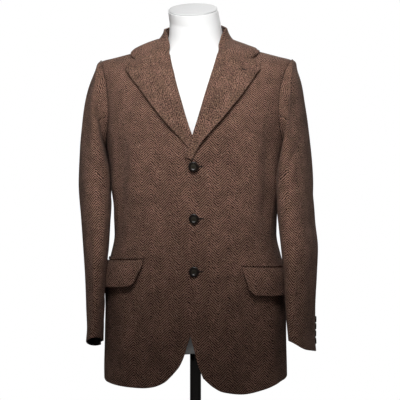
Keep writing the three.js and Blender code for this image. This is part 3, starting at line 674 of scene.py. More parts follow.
def clothOn(name, grid, side, lift, thick, faceCloth, backCloth, cloth=None, sewn=()):
    q, v = grid[..., 0], grid[..., 1]
    outer, inner = where(q, v, lift + thick, side), where(q, v, lift, side)
    if cloth is None:
        cloth = np.stack([q * quarterAt(v) * side, v], axis=-1) * metre
    return shell(name, outer, inner, cloth, faceCloth, backCloth, sewn), outer


gorge, notch, neckStart = [54, 775], [128, 748], [60, 791]
fronts = {
    "right": {
        "side": -1,
        "edge": -28,
        "corner": [36, 36],
        "hem": [[53, 20], [80, 8], [105, 4]],
        "cutaway": [[20, 56], [10, 78], [3, 102], [-7, 128], [-20, 158]],
        "hemAtSeam": 0,
        "roll": [[-24, 507], [-8, 538], [20, 631], [34, 690], [44, 740], gorge],
        "lapel": [
            [-9, 507], [0, 518], [42, 569], [80, 618], [123, 679], [142, 705], [146.5, 711], [147.5, 716],
            [149, 747],
        ],
        "flap": {"front": 99, "length": 150, "top": 279, "fall": -17, "height": 57, "slant": 8},
    },
    "left": {
        "side": 1,
        "edge": -6,
        "corner": [30, 33],
        "hem": [[50, 15], [72, 3], [118, -4], [162, 1]],
        "cutaway": [[19, 62], [11, 93], [3, 125], [0, 156], [-4, 190]],
        "hemAtSeam": 11,
        "roll": [[-5, 498], [9, 538], [32, 631], [46, 706], [52, 745], gorge],
        "lapel": [
            [8, 492], [26, 526], [70, 585], [109, 640], [145.5, 702], [149.5, 708], [150.5, 714], [152, 746],
        ],
        "flap": {"front": 111, "length": 145, "top": 266, "fall": -15, "height": 58, "slant": 6},
    },
}


# Where the left front lies over the right one, and where over the right lapel's foot
overlap = {
    "fade": (25, 110), "top": (620, 740),
    "foot": (474, 500), "footTop": (560, 610), "footFade": (15, 70), "footGap": 3.3,
}


def frontLift(f, q, v):
    if f["side"] < 0:
        return np.zeros(np.broadcast(q, v).shape)
    s = q * quarterAt(v)
    nearEdge = (1 - smooth(*overlap["fade"], s)) * (1 - smooth(*overlap["top"], v))
    overFoot = smooth(*overlap["foot"], v) * (1 - smooth(*overlap["footTop"], v))
    lift = (wallThick + layerGap) * nearEdge
    return lift + (wallThick + overlap["footGap"]) * overFoot * (1 - smooth(*overlap["footFade"], s))


# A piece of the body: tweed outside, lining inside
def bodyCloth(node, grid, side, lift, sewn, cloth=None):
    piece, outer = clothOn(f"jacket_{node}", grid, side, lift, wallThick, tweedBody, lining, cloth, sewn)
    declare(piece, node, outer)


def makeFront(tag):
    f = fronts[tag]
    acrossFront = columns["front"]
    straight = [[f["edge"], v] for v in (235, 350, 470)]
    points = [f["corner"], *f["cutaway"], *straight, *f["roll"], neckStart]
    inner = along(points, totalRows)
    seamFoot = [float(frontSeam(f["hemAtSeam"])[0] * quarterAt(0)), f["hemAtSeam"]]
    bottom = onFront(along([f["corner"], *f["hem"], seamFoot], acrossFront))
    outer = seamEdge(frontSeam, armhole["front"], f["hemAtSeam"], -1)
    bottom[-1] = outer[0]
    start = onFront([neckStart])[0]
    t = steps(acrossFront)
    top = np.column_stack([mix(start[0], outer[-1][0], t), mix(start[1], neckV, np.sqrt(t))])
    grid = patch(bottom, top, onFront(inner), outer)
    lift = frontLift(f, grid[..., 0], grid[..., 1])
    bodyCloth(f"front_{tag}", grid, f["side"], lift, ("last",))


def makeSide(tag, hemFront, hemBack):
    side = fronts[tag]["side"]
    rows = rowsTo["armhole"] + 1
    inner = seamEdge(frontSeam, armhole["front"], hemFront, 1)[:rows]
    outer = seamEdge(backSeam, armhole["back"], hemBack, -1)[:rows]
    t = steps(columns["side"])
    bottom = np.column_stack([mix(inner[0][0], outer[0][0], t), mix(hemFront, hemBack, t)])
    top = armholeAt(mix(armhole["front"], armhole["back"], t))
    top[0], top[-1] = inner[-1], outer[-1]
    bodyCloth(f"side_{tag}", patch(bottom, top, inner, outer), side, 0, ("first", "last"))


vent = {"top": 226, "underlap": 34, "backHem": 20, "over": (1.72, 1.84)}


def makeBack(tag, hemAtSeam):
    side = fronts[tag]["side"]
    laps = vent["underlap"] if side > 0 else 0
    inner = seamEdge(backSeam, armhole["back"], hemAtSeam, 1)
    levels = (vent["backHem"], vent["top"] - 12, vent["top"] + 3, neckV)
    v = along([[0, level] for level in levels], totalRows)[:, 1]
    middle = 2 - gapAt(v) + (1 - smooth(vent["top"] - 9, vent["top"], v)) * laps / quarterAt(v)
    outer = np.column_stack([middle, v])
    t = steps(columns["back"])
    low, high = (mix(inner[row][0], outer[row][0], t) for row in (0, -1))
    bottom = np.column_stack([low, mix(hemAtSeam, vent["backHem"], smooth(0, 1, t))])
    top = np.column_stack([high, np.full_like(t, neckV)])
    grid = patch(bottom, top, inner, outer)
    q, v = grid[..., 0], grid[..., 1]
    lift = np.zeros_like(q)
    if side < 0:
        above = smooth(vent["top"] + 2, vent["top"] + 60, v)
        lift = (wallThick + layerGap) * smooth(*vent["over"], q) * (1 - above)
    cloth = np.stack([(2 - q) * quarterAt(v) * side, v], axis=-1) * metre
    bodyCloth(f"back_{tag}", grid, side, lift, ("first", "last"), cloth)


for tag, hemFront, hemBack in (("right", 0, 4), ("left", 11, 10)):
    makeFront(tag)
    makeSide(tag, hemFront, hemBack)
    makeBack(tag, hemBack)
print("body made")


# Rolls a grid's first column over and behind it, as cloth folds over itself: depth is the fold's width
def foldedEdge(outer, inner, depth):
    out = unit(outer[:, 0] - inner[:, 0])
    toward = outer[:, 0] - outer[:, 2]
    toward = unit(toward - (toward * out).sum(axis=1, keepdims=True) * out)
    radius = depth / 2
    centre = outer[:, 0] - out * radius
    angles = np.radians([180, 158, 135, 112, 90, 67, 45, 22])
    folded = []
    for grid, off in ((outer, radius), (inner, radius - wallThick * metre)):
        rolled = [centre + off * (out * math.cos(a) + toward * math.sin(a)) for a in angles]
        folded.append(np.concatenate([np.stack(rolled, axis=1), grid], axis=1))
    return folded


lapelFull = 7


def rollOver(a):
    return lapelFull * np.sin(math.pi * np.sqrt(a)) ** 2


# How a lapel rises from its fold line (0) to its outer edge (1), up where it meets the collar
def lapelRise(a):
    return rollOver(a) + 0.8 * a


# How far the outer edges of the lapels stand off low down and high up, and where that begins and ends
lapelEdge = {"low": 9, "high": 4, "right": (530, 580), "left": (500, 545), "end": (703, 716)}


def makeLapel(tag):
    f = fronts[tag]
    across, up = columns["lapel"], 2 * columns["lapel"]
    inner = onFront(along(f["roll"], up))
    outer = onFront(along(f["lapel"], up))
    bottom = onFront(along([f["roll"][0], f["lapel"][0]], across))
    tip = f["lapel"][-1]
    seam = across * 3 // 4
    top = np.concatenate([along([gorge, notch], seam), along([notch, tip], across - seam)[1:]])
    top = onFront(top)
    grid = patch(bottom, top, inner, outer)
    q, v = grid[..., 0], grid[..., 1]
    a = np.broadcast_to(steps(across)[None, :], q.shape)
    rolled = mix(rollOver(a) * smooth(500, 640, v), lapelRise(a), smooth(640, 740, v))
    lift = frontLift(f, q, v) + wallThick + layerGap + rolled
    standing = mix(lapelEdge["low"], lapelEdge["high"], smooth(560, 690, v)) * smooth(*lapelEdge[tag], v)
    standing = standing * (1 - smooth(*lapelEdge["end"], v))
    lift = lift + 0.5 * a + standing * smooth(0.45, 1, a)
    outerGrid, innerGrid = where(q, v, lift + wallThick, f["side"]), where(q, v, lift, f["side"])
    folded, foldedInner = foldedEdge(outerGrid, innerGrid, (2 * wallThick + layerGap + 0.6) * metre)
    cloth = measured(folded, folded.shape[1] - 1)
    piece = shell(f"jacket_lapel_{tag}", folded, foldedInner, cloth, tweedLapel, tweedLapel, ("high",))
    declare(piece, f"lapel_{tag}", folded)


makeLapel("right")
makeLapel("left")

collar = {
    "point": {"left": [142, 760], "right": [144, 761]},
    "notch": [128, 748.4],
    "gorge": [54, 775.3],
    "edge": [[0.86, 768], [0.93, 775], [1.05, 780], [1.4, 784], [2, 787]],
    "fold": [[0.424, 790], [0.58, 804.5], [0.8, 817], [1, 822], [1.5, 827], [2, 829]],
    "stand": [[0.54, 799], [0.67, 807.5], [0.8, 814], [1, 820], [1.5, 825], [2, 827]],
    # how full the fall rolls beside the neck and behind it
    "bulge": {"left": 5.5, "right": 11},
    "behind": 8,
    "around": 112,
    "up": 25,
    "measure": 250,
}


def spread(points, count):
    scale = np.array([collar["measure"], 1])
    return along(np.array(points, float) * scale, count) / scale


def bothSides(leftGrid, rightGrid, leftLift, rightLift):
    left = where(leftGrid[..., 0], leftGrid[..., 1], leftLift, 1)
    right = where(rightGrid[..., 0], rightGrid[..., 1], rightLift, -1)[:, ::-1]
    return np.concatenate([left, right[:, 1:]], axis=1)


# One side of the fall over q and v, and how far each place stands off
def fallSide(tag):
    around, up = collar["around"], collar["up"]
    tip = collar["point"][tag]
    bottom = spread([onFront([tip])[0], *collar["edge"]], around)
    top = spread([onFront([collar["gorge"]])[0], *collar["fold"]], around)
    end = up // 5
    toGorge = along([collar["notch"], collar["gorge"]], up - end)[1:]
    inner = np.concatenate([along([tip, collar["notch"]], end), toGorge])
    outer = np.column_stack([np.full(up + 1, 2.0), mix(bottom[-1][1], top[-1][1], steps(up))])
    grid = patch(bottom, top, onFront(inner), outer)
    b = np.broadcast_to(steps(up)[:, None], grid.shape[:2])
    u = np.broadcast_to(steps(around)[None, :], grid.shape[:2])
    full = mix(collar["bulge"][tag], collar["behind"], smooth(1.1, 1.8, grid[..., 0]))
    rolled = full * np.sin(math.pi * b**0.85) ** 1.6
    a = np.clip((1 - b) * 0.94, 0, 1)
    lift = wallThick + layerGap + mix(lapelRise(a), rolled + 0.6, smooth(0.02, 0.2, u))
    return grid, lift


def makeCollarFall():
    (leftGrid, leftLift), (rightGrid, rightLift) = fallSide("left"), fallSide("right")
    grids = [bothSides(leftGrid, rightGrid, leftLift + off, rightLift + off) for off in (wallThick, 0)]
    turned = (grid[::-1].transpose(1, 0, 2) for grid in grids)
    folded, foldedInner = foldedEdge(*turned, (2 * wallThick + layerGap) * metre)
    cloth = measured(folded, folded.shape[1] - 1)
    piece = shell("jacket_collar_fall", folded, foldedInner, cloth, tweedLapel, tweedLapel)
    declare(piece, "collar_fall", folded)


def makeCollarStand():
    top = spread(collar["stand"], collar["around"])
    bottom = mix(collar["stand"][0][0], 2, steps(collar["around"]))
    bottom = np.column_stack([bottom, np.full_like(bottom, neckV + 0.4)])
    b = steps(10)[:, None, None]
    grid = mix(bottom[None], top[None], b)
    lift = 0.2 + 0.6 * np.broadcast_to(b[..., 0], grid.shape[:2])
    outerGrid, innerGrid = (bothSides(grid, grid, lift + off, lift + off) for off in (wallThick, 0))
    cloth = measured(outerGrid, 0)
    piece = shell("jacket_collar_stand", outerGrid, innerGrid, cloth, tweedLapel, tweedLapel)
    declare(piece, "collar_stand", outerGrid)


makeCollarFall()
makeCollarStand()
print("lapels and collar made")


# A flap or a jet: how far above the flap's line, how high, its rounded corner, how far off, how thick
# and how far its foot hangs away
def makeStrip(name, node, tag, rise, height, rounding, off, thick, hang):
    f = fronts[tag]
    flap = f["flap"]
    up, across = (24, 56) if rounding else (4, 56)
    b, share = steps(up)[:, None], steps(across)[None, :]
    a = share**1.5
    inCorner = np.clip(1 - a * flap["length"] / (rounding or 1), 0, None)
    corner = rounding * (1 - np.sqrt(np.clip(1 - inCorner**2, 0, None)))
    edge = flap["top"] + rise + flap["fall"] * a
    slant = flap["slant"] * (1 - b) ** 2 * (1 - a) if rounding else 0 * b
    q = (flap["front"] + a * flap["length"] + slant) / quarterAt(flap["top"])
    q, v = np.broadcast_arrays(q, mix(edge - height + corner, edge, b))
    lift = frontLift(f, q, v) + wallThick + off + hang * (1 - b)
    cloth = np.stack([(q * quarterAt(v) + 4) * f["side"], v + 2], axis=-1) * metre
    grid = np.stack([q, v], axis=-1)
    piece, outerGrid = clothOn(name, grid, f["side"], lift, thick, tweedBody, tweedBody, cloth)
    declare(piece, node, outerGrid)


flapFit = {"rise": 0, "rounding": 22, "off": layerGap, "thick": wallThick, "hang": 9}
jetFit = {"rise": 8.2, "height": 6, "rounding": 0, "off": 1.2, "thick": 1, "hang": 0}
for tag in ("right", "left"):
    height = fronts[tag]["flap"]["height"]
    makeStrip(f"pocket_flap_{tag}", f"flap_{tag}", tag, height=height, **flapFit)
    makeStrip(f"pocket_jet_{tag}", f"jet_{tag}", tag, **jetFit)
print("pockets made")

sleeves = {
    # z, x, y, wide, deep, toe, rise, lead
    "left": [
        [610, 212, 6, 9, 84, 3, 96, 0], [597, 215, 4, 14, 90, 5, 92, 0], [575, 217, 2, 19, 93, 7, 84, 0],
        [546, 217.5, 0, 24.5, 94, 9, 72, 0], [512, 218.5, -2, 29.5, 93, 11, 58, 0],
        [470, 220.5, -6, 33.5, 91, 12, 43, 0], [415, 223, -12, 35, 88, 12, 25, 0],
        [350, 227.5, -22, 34.5, 85, 13, 10, 1], [290, 234, -33, 35, 81, 14, 2, 4],
        [230, 235.5, -45, 31, 76, 15, 0, 9], [170, 235, -56, 25.5, 71, 17, -2, 14],
        [120, 236.5, -64, 22.5, 67, 18, -4, 18], [91, 238.5, -68, 22, 65, 18, -6, 20],
    ],
    "right": [
        [610, 212, 6, 9, 84, 3, 96, 0], [597, 216, 4, 15, 90, 5, 92, 0], [575, 220, 2, 21.5, 93, 7, 84, 0],
        [546, 222, 0, 29, 94, 9, 72, 0], [512, 223, -2, 34, 93, 12, 58, 0],
        [470, 225, -6, 36.5, 91, 14, 43, 0], [415, 226, -12, 36, 88, 15, 25, 0],
        [350, 224, -22, 32.5, 85, 15, 10, 1], [290, 221, -33, 28.5, 81, 14, 2, 5],
        [230, 218.5, -45, 24.5, 76, 12, 0, 10], [170, 216, -56, 21, 71, 10, -2, 16],
        [120, 215, -64, 19, 67, 9, -2, 20], [90, 215, -68, 19, 65, 8, -2, 23],
    ],
}
sleeveFit = {
    "seams": {"front": 0.3, "back": 0.7, "backAtCuff": 0.8},
    "body": 4.2,
    "flap": 5.3,
    "armhole": 5.1,
    "turns": 720,
    "round": 300,
    "long": 560,
    "girth": 400,
    "square": 2 / 2.25,
    "step": 0.004,
    "columns": {"top": 66, "under": 44},
    # where the folds flatten out: by the head and the cuff along the sleeve, and by the body round it
    "calm": {
        "head": (0, 0.12), "cuff": (0.93, 1), "cuffShare": 0.6,
        "body": (0.02, 0.12), "bodyHalf": 0.08, "bodyShare": 0.7,
    },
    # how far the rows inside the armhole grow from its edge, and how far they stand off the block
    "tucks": ((-2.4, -3), (-1.4, -0.6), (-0.5, 1.6), (0.1, 3.4)),
}
# Folds down each sleeve: turn (0 outside, 0.25 front, 0.5 by the body, 0.75 back) and mm from the
# armhole at both ends, how wide, how deep and how far they bow.
sleeveFolds = {
    "left": [
        [0.12, 40, 0.17, 250, 16, -3.4, 5], [0.05, 90, 0.07, 300, 18, 1.8, -4],
        [0.3, 262, 0.06, 236, 9, -3.2, 4], [0.32, 300, 0.1, 292, 8, -2.8, -3],
        [0.36, 336, 0.16, 352, 10, -2.4, 3], [0.18, 330, 0.14, 520, 15, -2.8, 4],
        [0.92, 60, 0.9, 260, 16, -2.6, -5], [0.98, 300, 0.84, 330, 11, -2.2, 3],
        [0.7, 100, 0.72, 320, 18, -3, 5], [0.9, 380, 0.93, 500, 14, -2, -3],
        [0.25, 20, 0.28, 150, 14, -2.6, 4],
    ],
    "right": [
        [0.1, 50, 0.13, 260, 17, -3.2, -5], [0.04, 120, 0.02, 330, 18, 2, 4],
        [0.34, 244, 0.1, 268, 9, -3.4, 4], [0.34, 285, 0.14, 300, 8, -2.8, -3],
        [0.36, 330, 0.12, 322, 10, -2.4, 3], [0.16, 340, 0.2, 530, 15, -2.6, -4],
        [0.9, 70, 0.93, 270, 17, -2.8, 5], [0.96, 310, 0.8, 322, 11, -2.4, -3],
        [0.72, 90, 0.7, 300, 18, -3.2, -5], [0.92, 390, 0.9, 510, 14, -2.2, 3],
        [0.26, 30, 0.24, 160, 14, -2.4, -4],
    ],
}
sleeveWaves = [[0.033, 0.019, 0.4, 0.5], [-0.021, 0.043, 2.2, 0.4], [0.012, 0.071, 4.4, 0.32]]


# The cuffs' lower edges hang lower between the outside and the front
cuffEdge = {
    "left": {"drop": 4.5, "turn": 0.1, "wide": 0.11},
    "right": {"drop": 2, "turn": 0.12, "wide": 0.11},
}


# The block's half width at a depth and height above the hem; ring heights change round it, so v is sought
def halfWidthAt(y, z):
    v = z.copy()
    for go in range(7):
        zS, zF, zB, half, yF, yB, yS, nF, nB = (np.interp(v, blockLevels, column) for column in blockRows.T)
        front = y < yS
        n = np.where(front, nF, nB)
        c = np.minimum(1, np.abs(y - yS) / np.abs(np.where(front, yF, yB) - yS)) ** n
        if go < 6:
            v = v + z - mix(zS, np.where(front, zF, zB), c)
    return half * (1 - c) ** (1 / n)


def sleeveSurface(tag):
    turns = steps(sleeveFit["turns"])
    a = turns * 2 * math.pi
    out, ahead = (np.sign(wave) * np.abs(wave) ** sleeveFit["square"] for wave in (np.cos(a), np.sin(a)))
    head = armholeAt(turns, 1)
    first = where(head[:, 0], head[:, 1], sleeveFit["armhole"], 1, False) / metre
    first[:, 2] -= block["hemZ"]
    places = [first]
    for z0, x0, y0, wide, deep, toe, rise, lead in sleeves[tag]:
        angle = math.radians(toe)
        x = x0 + wide * out * math.cos(angle) - deep * ahead * math.sin(angle)
        y = y0 - wide * out * math.sin(angle) - deep * ahead * math.cos(angle)
        z = z0 + rise * out + lead * ahead
        beside = sleeveFit["flap"] * (1 - smooth(285, 340, z))
        least = halfWidthAt(y, z) + wallThick + sleeveFit["body"] + beside
        places.append(np.column_stack([np.where(x < least, least + (x - least) * 0.02, x), y, z]))
    table = np.stack(places).reshape(len(places), -1)
    curve = curveThrough(np.column_stack([steps(len(places) - 1), table]))

    def rowAt(t, turn):
        ring = curve(float(t)).reshape(-1, 3)
        place = np.stack([np.interp(np.mod(turn, 1), turns, ring[:, k]) for k in range(3)], axis=-1)
        return place + np.array([0, 0, block["hemZ"]])

    return rowAt


# The outer face of a sleeve over t (0 at the armhole, 1 at the cuff) and turns, folded, in metres
def sleeveGrid(tag, surface, ts, turnsAt):
    side, step, calm = fronts[tag]["side"], sleeveFit["step"], sleeveFit["calm"]
    rows, depths = [], []
    for t in ts:
        turn = turnsAt(t)
        ahead = surface(t, turn + step) - surface(t, turn - step)
        down = surface(min(1, t + step), turn) - surface(max(0, t - step), turn)
        inward = unit(np.cross(down, ahead))
        across, up = turn * sleeveFit["round"], np.full_like(turn, t * sleeveFit["long"])
        height = foldShape(across, up, sleeveFolds[tag], sleeveFit["round"])
        height = height + wavesAt(np.cos(turn * 2 * math.pi) * 48 + 20, up, sleeveWaves)
        atCuff = smooth(*calm["cuff"], t)
        height *= smooth(*calm["head"], t) * (1 - calm["cuffShare"] * atCuff)
        byBody = 1 - smooth(*calm["body"], np.abs(np.mod(turn, 1) - 0.5) - calm["bodyHalf"])
        height = np.where(height > 0, height * (1 - byBody), height * (1 - calm["bodyShare"] * byBody))
        place = surface(t, turn) - inward * height[:, None]
        dip = cuffEdge[tag]
        off = (turn - dip["turn"]) / dip["wide"]
        place[:, 2] -= atCuff * dip["drop"] * np.exp(-(off**2))
        rows.append(place)
        depths.append(inward)
    outer, inner = np.stack(rows), np.stack(rows) + np.stack(depths) * wallThick
    # the head turns in through the armhole, as a sewn seam does
    turn = turnsAt(0)
    tucks = []
    for grow, lift in sleeveFit["tucks"]:
        q, v = armholeAt(turn, grow).T
        tucks.append([where(q, v, off, 1, False) / metre for off in (lift, lift - wallThick * 0.9)])
    faces = [np.concatenate([rows, grid]) * [side, 1, 1] for rows, grid in zip(zip(*tucks), (outer, inner))]
    return faces[0] * metre, faces[1] * metre


# Cloth measure of a sleeve piece: its height, and level distance round, carried up over the head from
# its middle
def sleeveCloth(outer):
    across, down = np.gradient(outer, axis=1), np.gradient(outer, axis=0)
    out = unit(np.cross(across, down))
    level = unit(np.stack([-out[..., 1], out[..., 0], np.zeros(out.shape[:2])], axis=-1))
    middle = int(len(outer) * 0.42)
    level = level * np.sign((level[middle] * across[middle]).sum())
    way = runs(outer[..., :2])
    way -= way[:, [way.shape[1] // 2]]
    level = (level[1 : middle + 1] + level[:middle]) / 2
    upward = ((outer[:middle] - outer[1 : middle + 1]) * level).sum(axis=2)
    for i in range(middle, 0, -1):
        way[i - 1] = way[i] + upward[i - 1]
    return np.stack([way, outer[..., 2]], axis=-1)


def makeSleeve(tag):
    surface = sleeveSurface(tag)
    seams = sleeveFit["seams"]
    trim = seamGap / 2 / sleeveFit["girth"] * 1.2
    pieces = (
        ("top", (seams["back"] - 1, seams["backAtCuff"] - 1), (seams["front"], seams["front"])),
        ("under", (seams["front"], seams["front"]), (seams["back"], seams["backAtCuff"])),
    )
    ts = np.concatenate([np.linspace(0, 0.1, 16)[:-1], np.linspace(0.1, 1, 130)])
    for part, start, end in pieces:
        across = steps(sleeveFit["columns"][part])

        def turnsAt(t):
            return mix(mix(*start, t) + trim, mix(*end, t) - trim, across)

        outer, inner = sleeveGrid(tag, surface, ts, turnsAt)
        name, cloth = f"sleeve_{part}_{tag}_cloth", sleeveCloth(outer)
        piece = shell(name, outer, inner, cloth, tweedSleeve, lining, ("first", "last"))
        declare(piece, f"sleeve_{part}_{tag}", outer)
    return surface


sleeveSurfaces = {tag: makeSleeve(tag) for tag in ("left", "right")}
print("sleeves made")


# A turned solid: profile of (radius, height) rows about an axis from place along facing, in metres
def lathe(profile, place, facing, sides):
    facing = Vector(facing).normalized()
    aside = facing.orthogonal().normalized()
    other = facing.cross(aside)
    a = np.arange(sides) / sides * 2 * math.pi
    basis = np.array([aside, other, facing])
    rings = [np.column_stack([r * np.cos(a), r * np.sin(a), np.full(sides, h)]) for r, h in profile]
    local = np.stack(rings)
    biggest = max(r for r, _ in profile)
    faces = quads(len(profile), sides, 0, True).tolist()
    faces += [list(range(sides))[::-1], [(len(profile) - 1) * sides + i for i in range(sides)]]
    return local.reshape(-1, 3) @ basis + np.array(place), faces, local.reshape(-1, 3)[:, :2] / biggest


buttonShape = [
    (0.05, 0.02), (0.7, 0), (0.82, 0.02), (0.93, 0.1), (0.99, 0.2), (1, 0.27), (0.985, 0.34), (0.94, 0.4),
    (0.86, 0.445), (0.76, 0.46), (0.66, 0.45), (0.58, 0.42), (0.52, 0.385), (0.46, 0.365), (0.36, 0.37),
    (0.22, 0.385), (0.03, 0.39),
]
# The two stitches on a button, in button radii
stitches = {"away": 0.17, "tall": 1.1, "floor": 0.385, "bow": 0.05, "thread": 0.06}


def tube(points, radius, sides):
    points = np.asarray(points, float)
    ahead = unit(np.gradient(points, axis=0))
    helper = np.array([0, 0, 1.0]) if abs(ahead[0][2]) < 0.9 else np.array([1.0, 0, 0])
    aside = unit(np.cross(ahead, helper))
    over = np.cross(aside, ahead)
    a = np.arange(sides) / sides * 2 * math.pi
    c, s = np.cos(a)[None, :, None], np.sin(a)[None, :, None]
    rings = points[:, None] + radius * (aside[:, None] * c + over[:, None] * s)
    faces = quads(len(points), sides, 0, True)[:, ::-1].tolist()
    faces += [list(range(sides)), [(len(points) - 1) * sides + i for i in range(sides)][::-1]]
    return rings.reshape(-1, 3), faces


def threadPart(points, radius, kind):
    spots, faces = tube(points, radius, 8)
    return spots, faces, np.zeros((len(spots), 2)), kind


def joined(parts):
    places, faces, cloths, kinds, start = [], [], [], [], 0
    for spots, polygons, cloth, kind in parts:
        places.append(spots)
        faces += [[i + start for i in polygon] for polygon in polygons]
        cloths.append(cloth)
        kinds += [kind] * len(polygons)
        start += len(spots)
    return np.concatenate(places), faces, np.concatenate(cloths), kinds


def makeButton(name, node, place, facing, radius):
    facing = np.array(Vector(facing).normalized())
    profile = [(r * radius, h * radius) for r, h in buttonShape]
    parts = [(*lathe(profile, place, facing, 40), 0)]
    level = np.cross(facing, [0, 0, 1.0])
    level /= np.linalg.norm(level)
    upward = np.cross(level, facing)
    middle = np.array(place) + facing * radius * stitches["floor"]
    for x in (-1, 1):
        ends = [level * x + upward * y * stitches["tall"] for y in (-1, 1)]
        ends = [middle + end * stitches["away"] * radius for end in ends]
        bow = [mix(*ends, t) + facing * radius * stitches["bow"] * math.sin(t * math.pi) for t in steps(8)]
        parts.append(threadPart(bow, stitches["thread"] * radius, 1))
    places, faces, cloth, kinds = joined(parts)
    piece = makeMesh(name, places, faces, cloth, [buttonHorn, thread], kinds)
    claim(piece, "button", node)


frontButtons = {"radius": 10.8, "levels": [479, 369, 257], "off": 0.9, "line": 11}
cuffButtons = {
    "radius": 7.2, "count": 4, "pitch": 15.2, "first": 22,
    "turn": 0.87, "beside": 0.01, "off": -1.0, "step": 0.001,
}


def makeFrontButtons():
    for i, v in enumerate(frontButtons["levels"]):
        q = frontButtons["line"] / quarterAt(v)
        lift = float(frontLift(fronts["left"], q, v + frontButtons["radius"] / 2))
        lift += wallThick + frontButtons["off"]
        place, ahead = (where(q, v, lift + more) for more in (0, 10))
        radius = frontButtons["radius"] * metre
        makeButton(f"coat_button_{i + 1}", f"front_button_{i + 1}", place, ahead - place, radius)


def makeCuffButtons(tag):
    surface, side = sleeveSurfaces[tag], fronts[tag]["side"]
    turn = np.array([cuffButtons["turn"]])
    t, gone = 1.0, 0.0
    for i in range(cuffButtons["count"]):
        while gone < cuffButtons["first"] + i * cuffButtons["pitch"]:
            before = t - cuffButtons["step"]
            gone += float(np.linalg.norm(surface(t, turn) - surface(before, turn)))
            t = before
        near = sleeveFit["step"]
        round3 = turn + np.array([-1, 0, 1]) * cuffButtons["beside"]
        grid = sleeveGrid(tag, surface, [t - near, t, t + near], lambda _: round3)[0]
        grid = grid[len(sleeveFit["tucks"]) :]
        out = np.cross(grid[1, 2] - grid[1, 0], grid[2, 1] - grid[0, 1])
        out = out / np.linalg.norm(out) * side
        place = grid[1, 1] + out * cuffButtons["off"] * metre
        radius = cuffButtons["radius"] * metre
        makeButton(f"sleeve_button_{tag}_{i + 1}", f"cuff_button_{tag}_{i + 1}", place, out, radius)


makeFrontButtons()
makeCuffButtons("left")
makeCuffButtons("right")
print("buttons made")

buttonhole = {"long": 14, "wide": 1.1, "thread": 0.6, "start": 6, "sides": 44}
lapelHole = {"long": 19, "start": (108, 716), "slope": (0.86, 0.5), "fold": 50, "wide": 98}


# A worked buttonhole: a round of thread, and inside it a thin tube of near-black lining that is painted
# shade in the slit
def makeButtonhole(name, placeAt, long):
    ring = []
    for a in np.arange(buttonhole["sides"]) / buttonhole["sides"] * 2 * math.pi:
        x = long / 2 * math.copysign(abs(math.cos(a)) ** 0.6, math.cos(a))
        ring.append(placeAt(long / 2 + x, buttonhole["wide"] * math.sin(a), 0.35))
    # the slit's darkness is painted shade: a thin tube of near-black lining laid along it
    slitShade = [placeAt(long * t, 0, 0.25) for t in np.linspace(0.02, 0.98, 12)]
    parts = [threadPart([*ring, ring[0]], buttonhole["thread"] * metre, 0)]
    parts.append(threadPart(slitShade, buttonhole["wide"] * 0.5 * metre, 1))
    places, faces, cloth, kinds = joined(parts)
    piece = makeMesh(name, places, faces, cloth, [thread, lining], kinds)
    claim(piece, "tweed")


def makeButtonholes():
    left = fronts["left"]
    for i, v in enumerate(frontButtons["levels"]):

        def placeAt(x, y, off, v=v):
            q = (frontButtons["line"] + buttonhole["start"] + x) / quarterAt(v + y)
            return where(q, v + y, float(frontLift(left, q, v + y)) + wallThick + off)

        makeButtonhole(f"coat_buttonhole_{i + 1}", placeAt, buttonhole["long"])

    def onLapel(x, y, off):
        (s, v), (run, fall) = lapelHole["start"], lapelHole["slope"]
        s, v = s + x * run + y * fall, v - x * fall + y * run
        across = (s - lapelHole["fold"]) / lapelHole["wide"]
        lift = wallThick * 2 + layerGap + float(lapelRise(across)) + 0.5 * across + off
        return where(s / quarterAt(v), v, lift)

    makeButtonhole("lapel_buttonhole", onLapel, lapelHole["long"])


makeButtonholes()
print("buttonholes worked")

form = {
    "sides": 176,
    "depth": [
        # v, sides, middles
        [78, 26, 24], [86, 16, 16], [230, 15, 14], [325, 12, 13], [515, 12, 12], [640, 11, 9], [705, 9, 8],
        [733, 7, 7], [752, 2, 6], [764, 1.1, 5], [782, 1.4, 5], [800, 6, 5], [836, 7, 6],
    ],
    "neck": {"rise": 32, "half": 55.5, "aside": -4.5, "back": 40, "front": -66, "lean": 38, "cap": 3},
    # the cap's rings: up from its foot, and from its top, with the share of the neck's girth
    "capFoot": [(0.3, 0.97), (0.3, 0.985)],
    "capTop": [(-0.8, 0.985), (0, 0.978), (0.5, 0.962), (0.75, 0.93), (0.8, 0.8), (0.8, 0.5), (0.8, 0.2)],
}


def neckRing(up, shrink):
    neck = form["neck"]
    a = np.arange(form["sides"]) / form["sides"] * 2 * math.pi
    y = mix(neck["front"], neck["back"], 0.5) - np.cos(a) * (neck["back"] - neck["front"]) * shrink / 2
    z = block["hemZ"] + neckV + neck["rise"] + up + y * neck["lean"] / 100
    return np.column_stack([neck["aside"] + np.sin(a) * neck["half"] * shrink, y, z]) * metre


def closedSkin(rings):
    rings = np.stack(rings)
    rows, sides = rings.shape[:2]
    places = np.concatenate([rings.reshape(-1, 3), [rings[0].mean(axis=0)], [rings[-1].mean(axis=0)]])
    faces = quads(rows, sides, 0, True).tolist()
    for i in range(sides):
        after = (i + 1) % sides
        faces.append([rows * sides, after, i])
        faces.append([rows * sides + 1, (rows - 1) * sides + i, (rows - 1) * sides + after])
    return places, faces


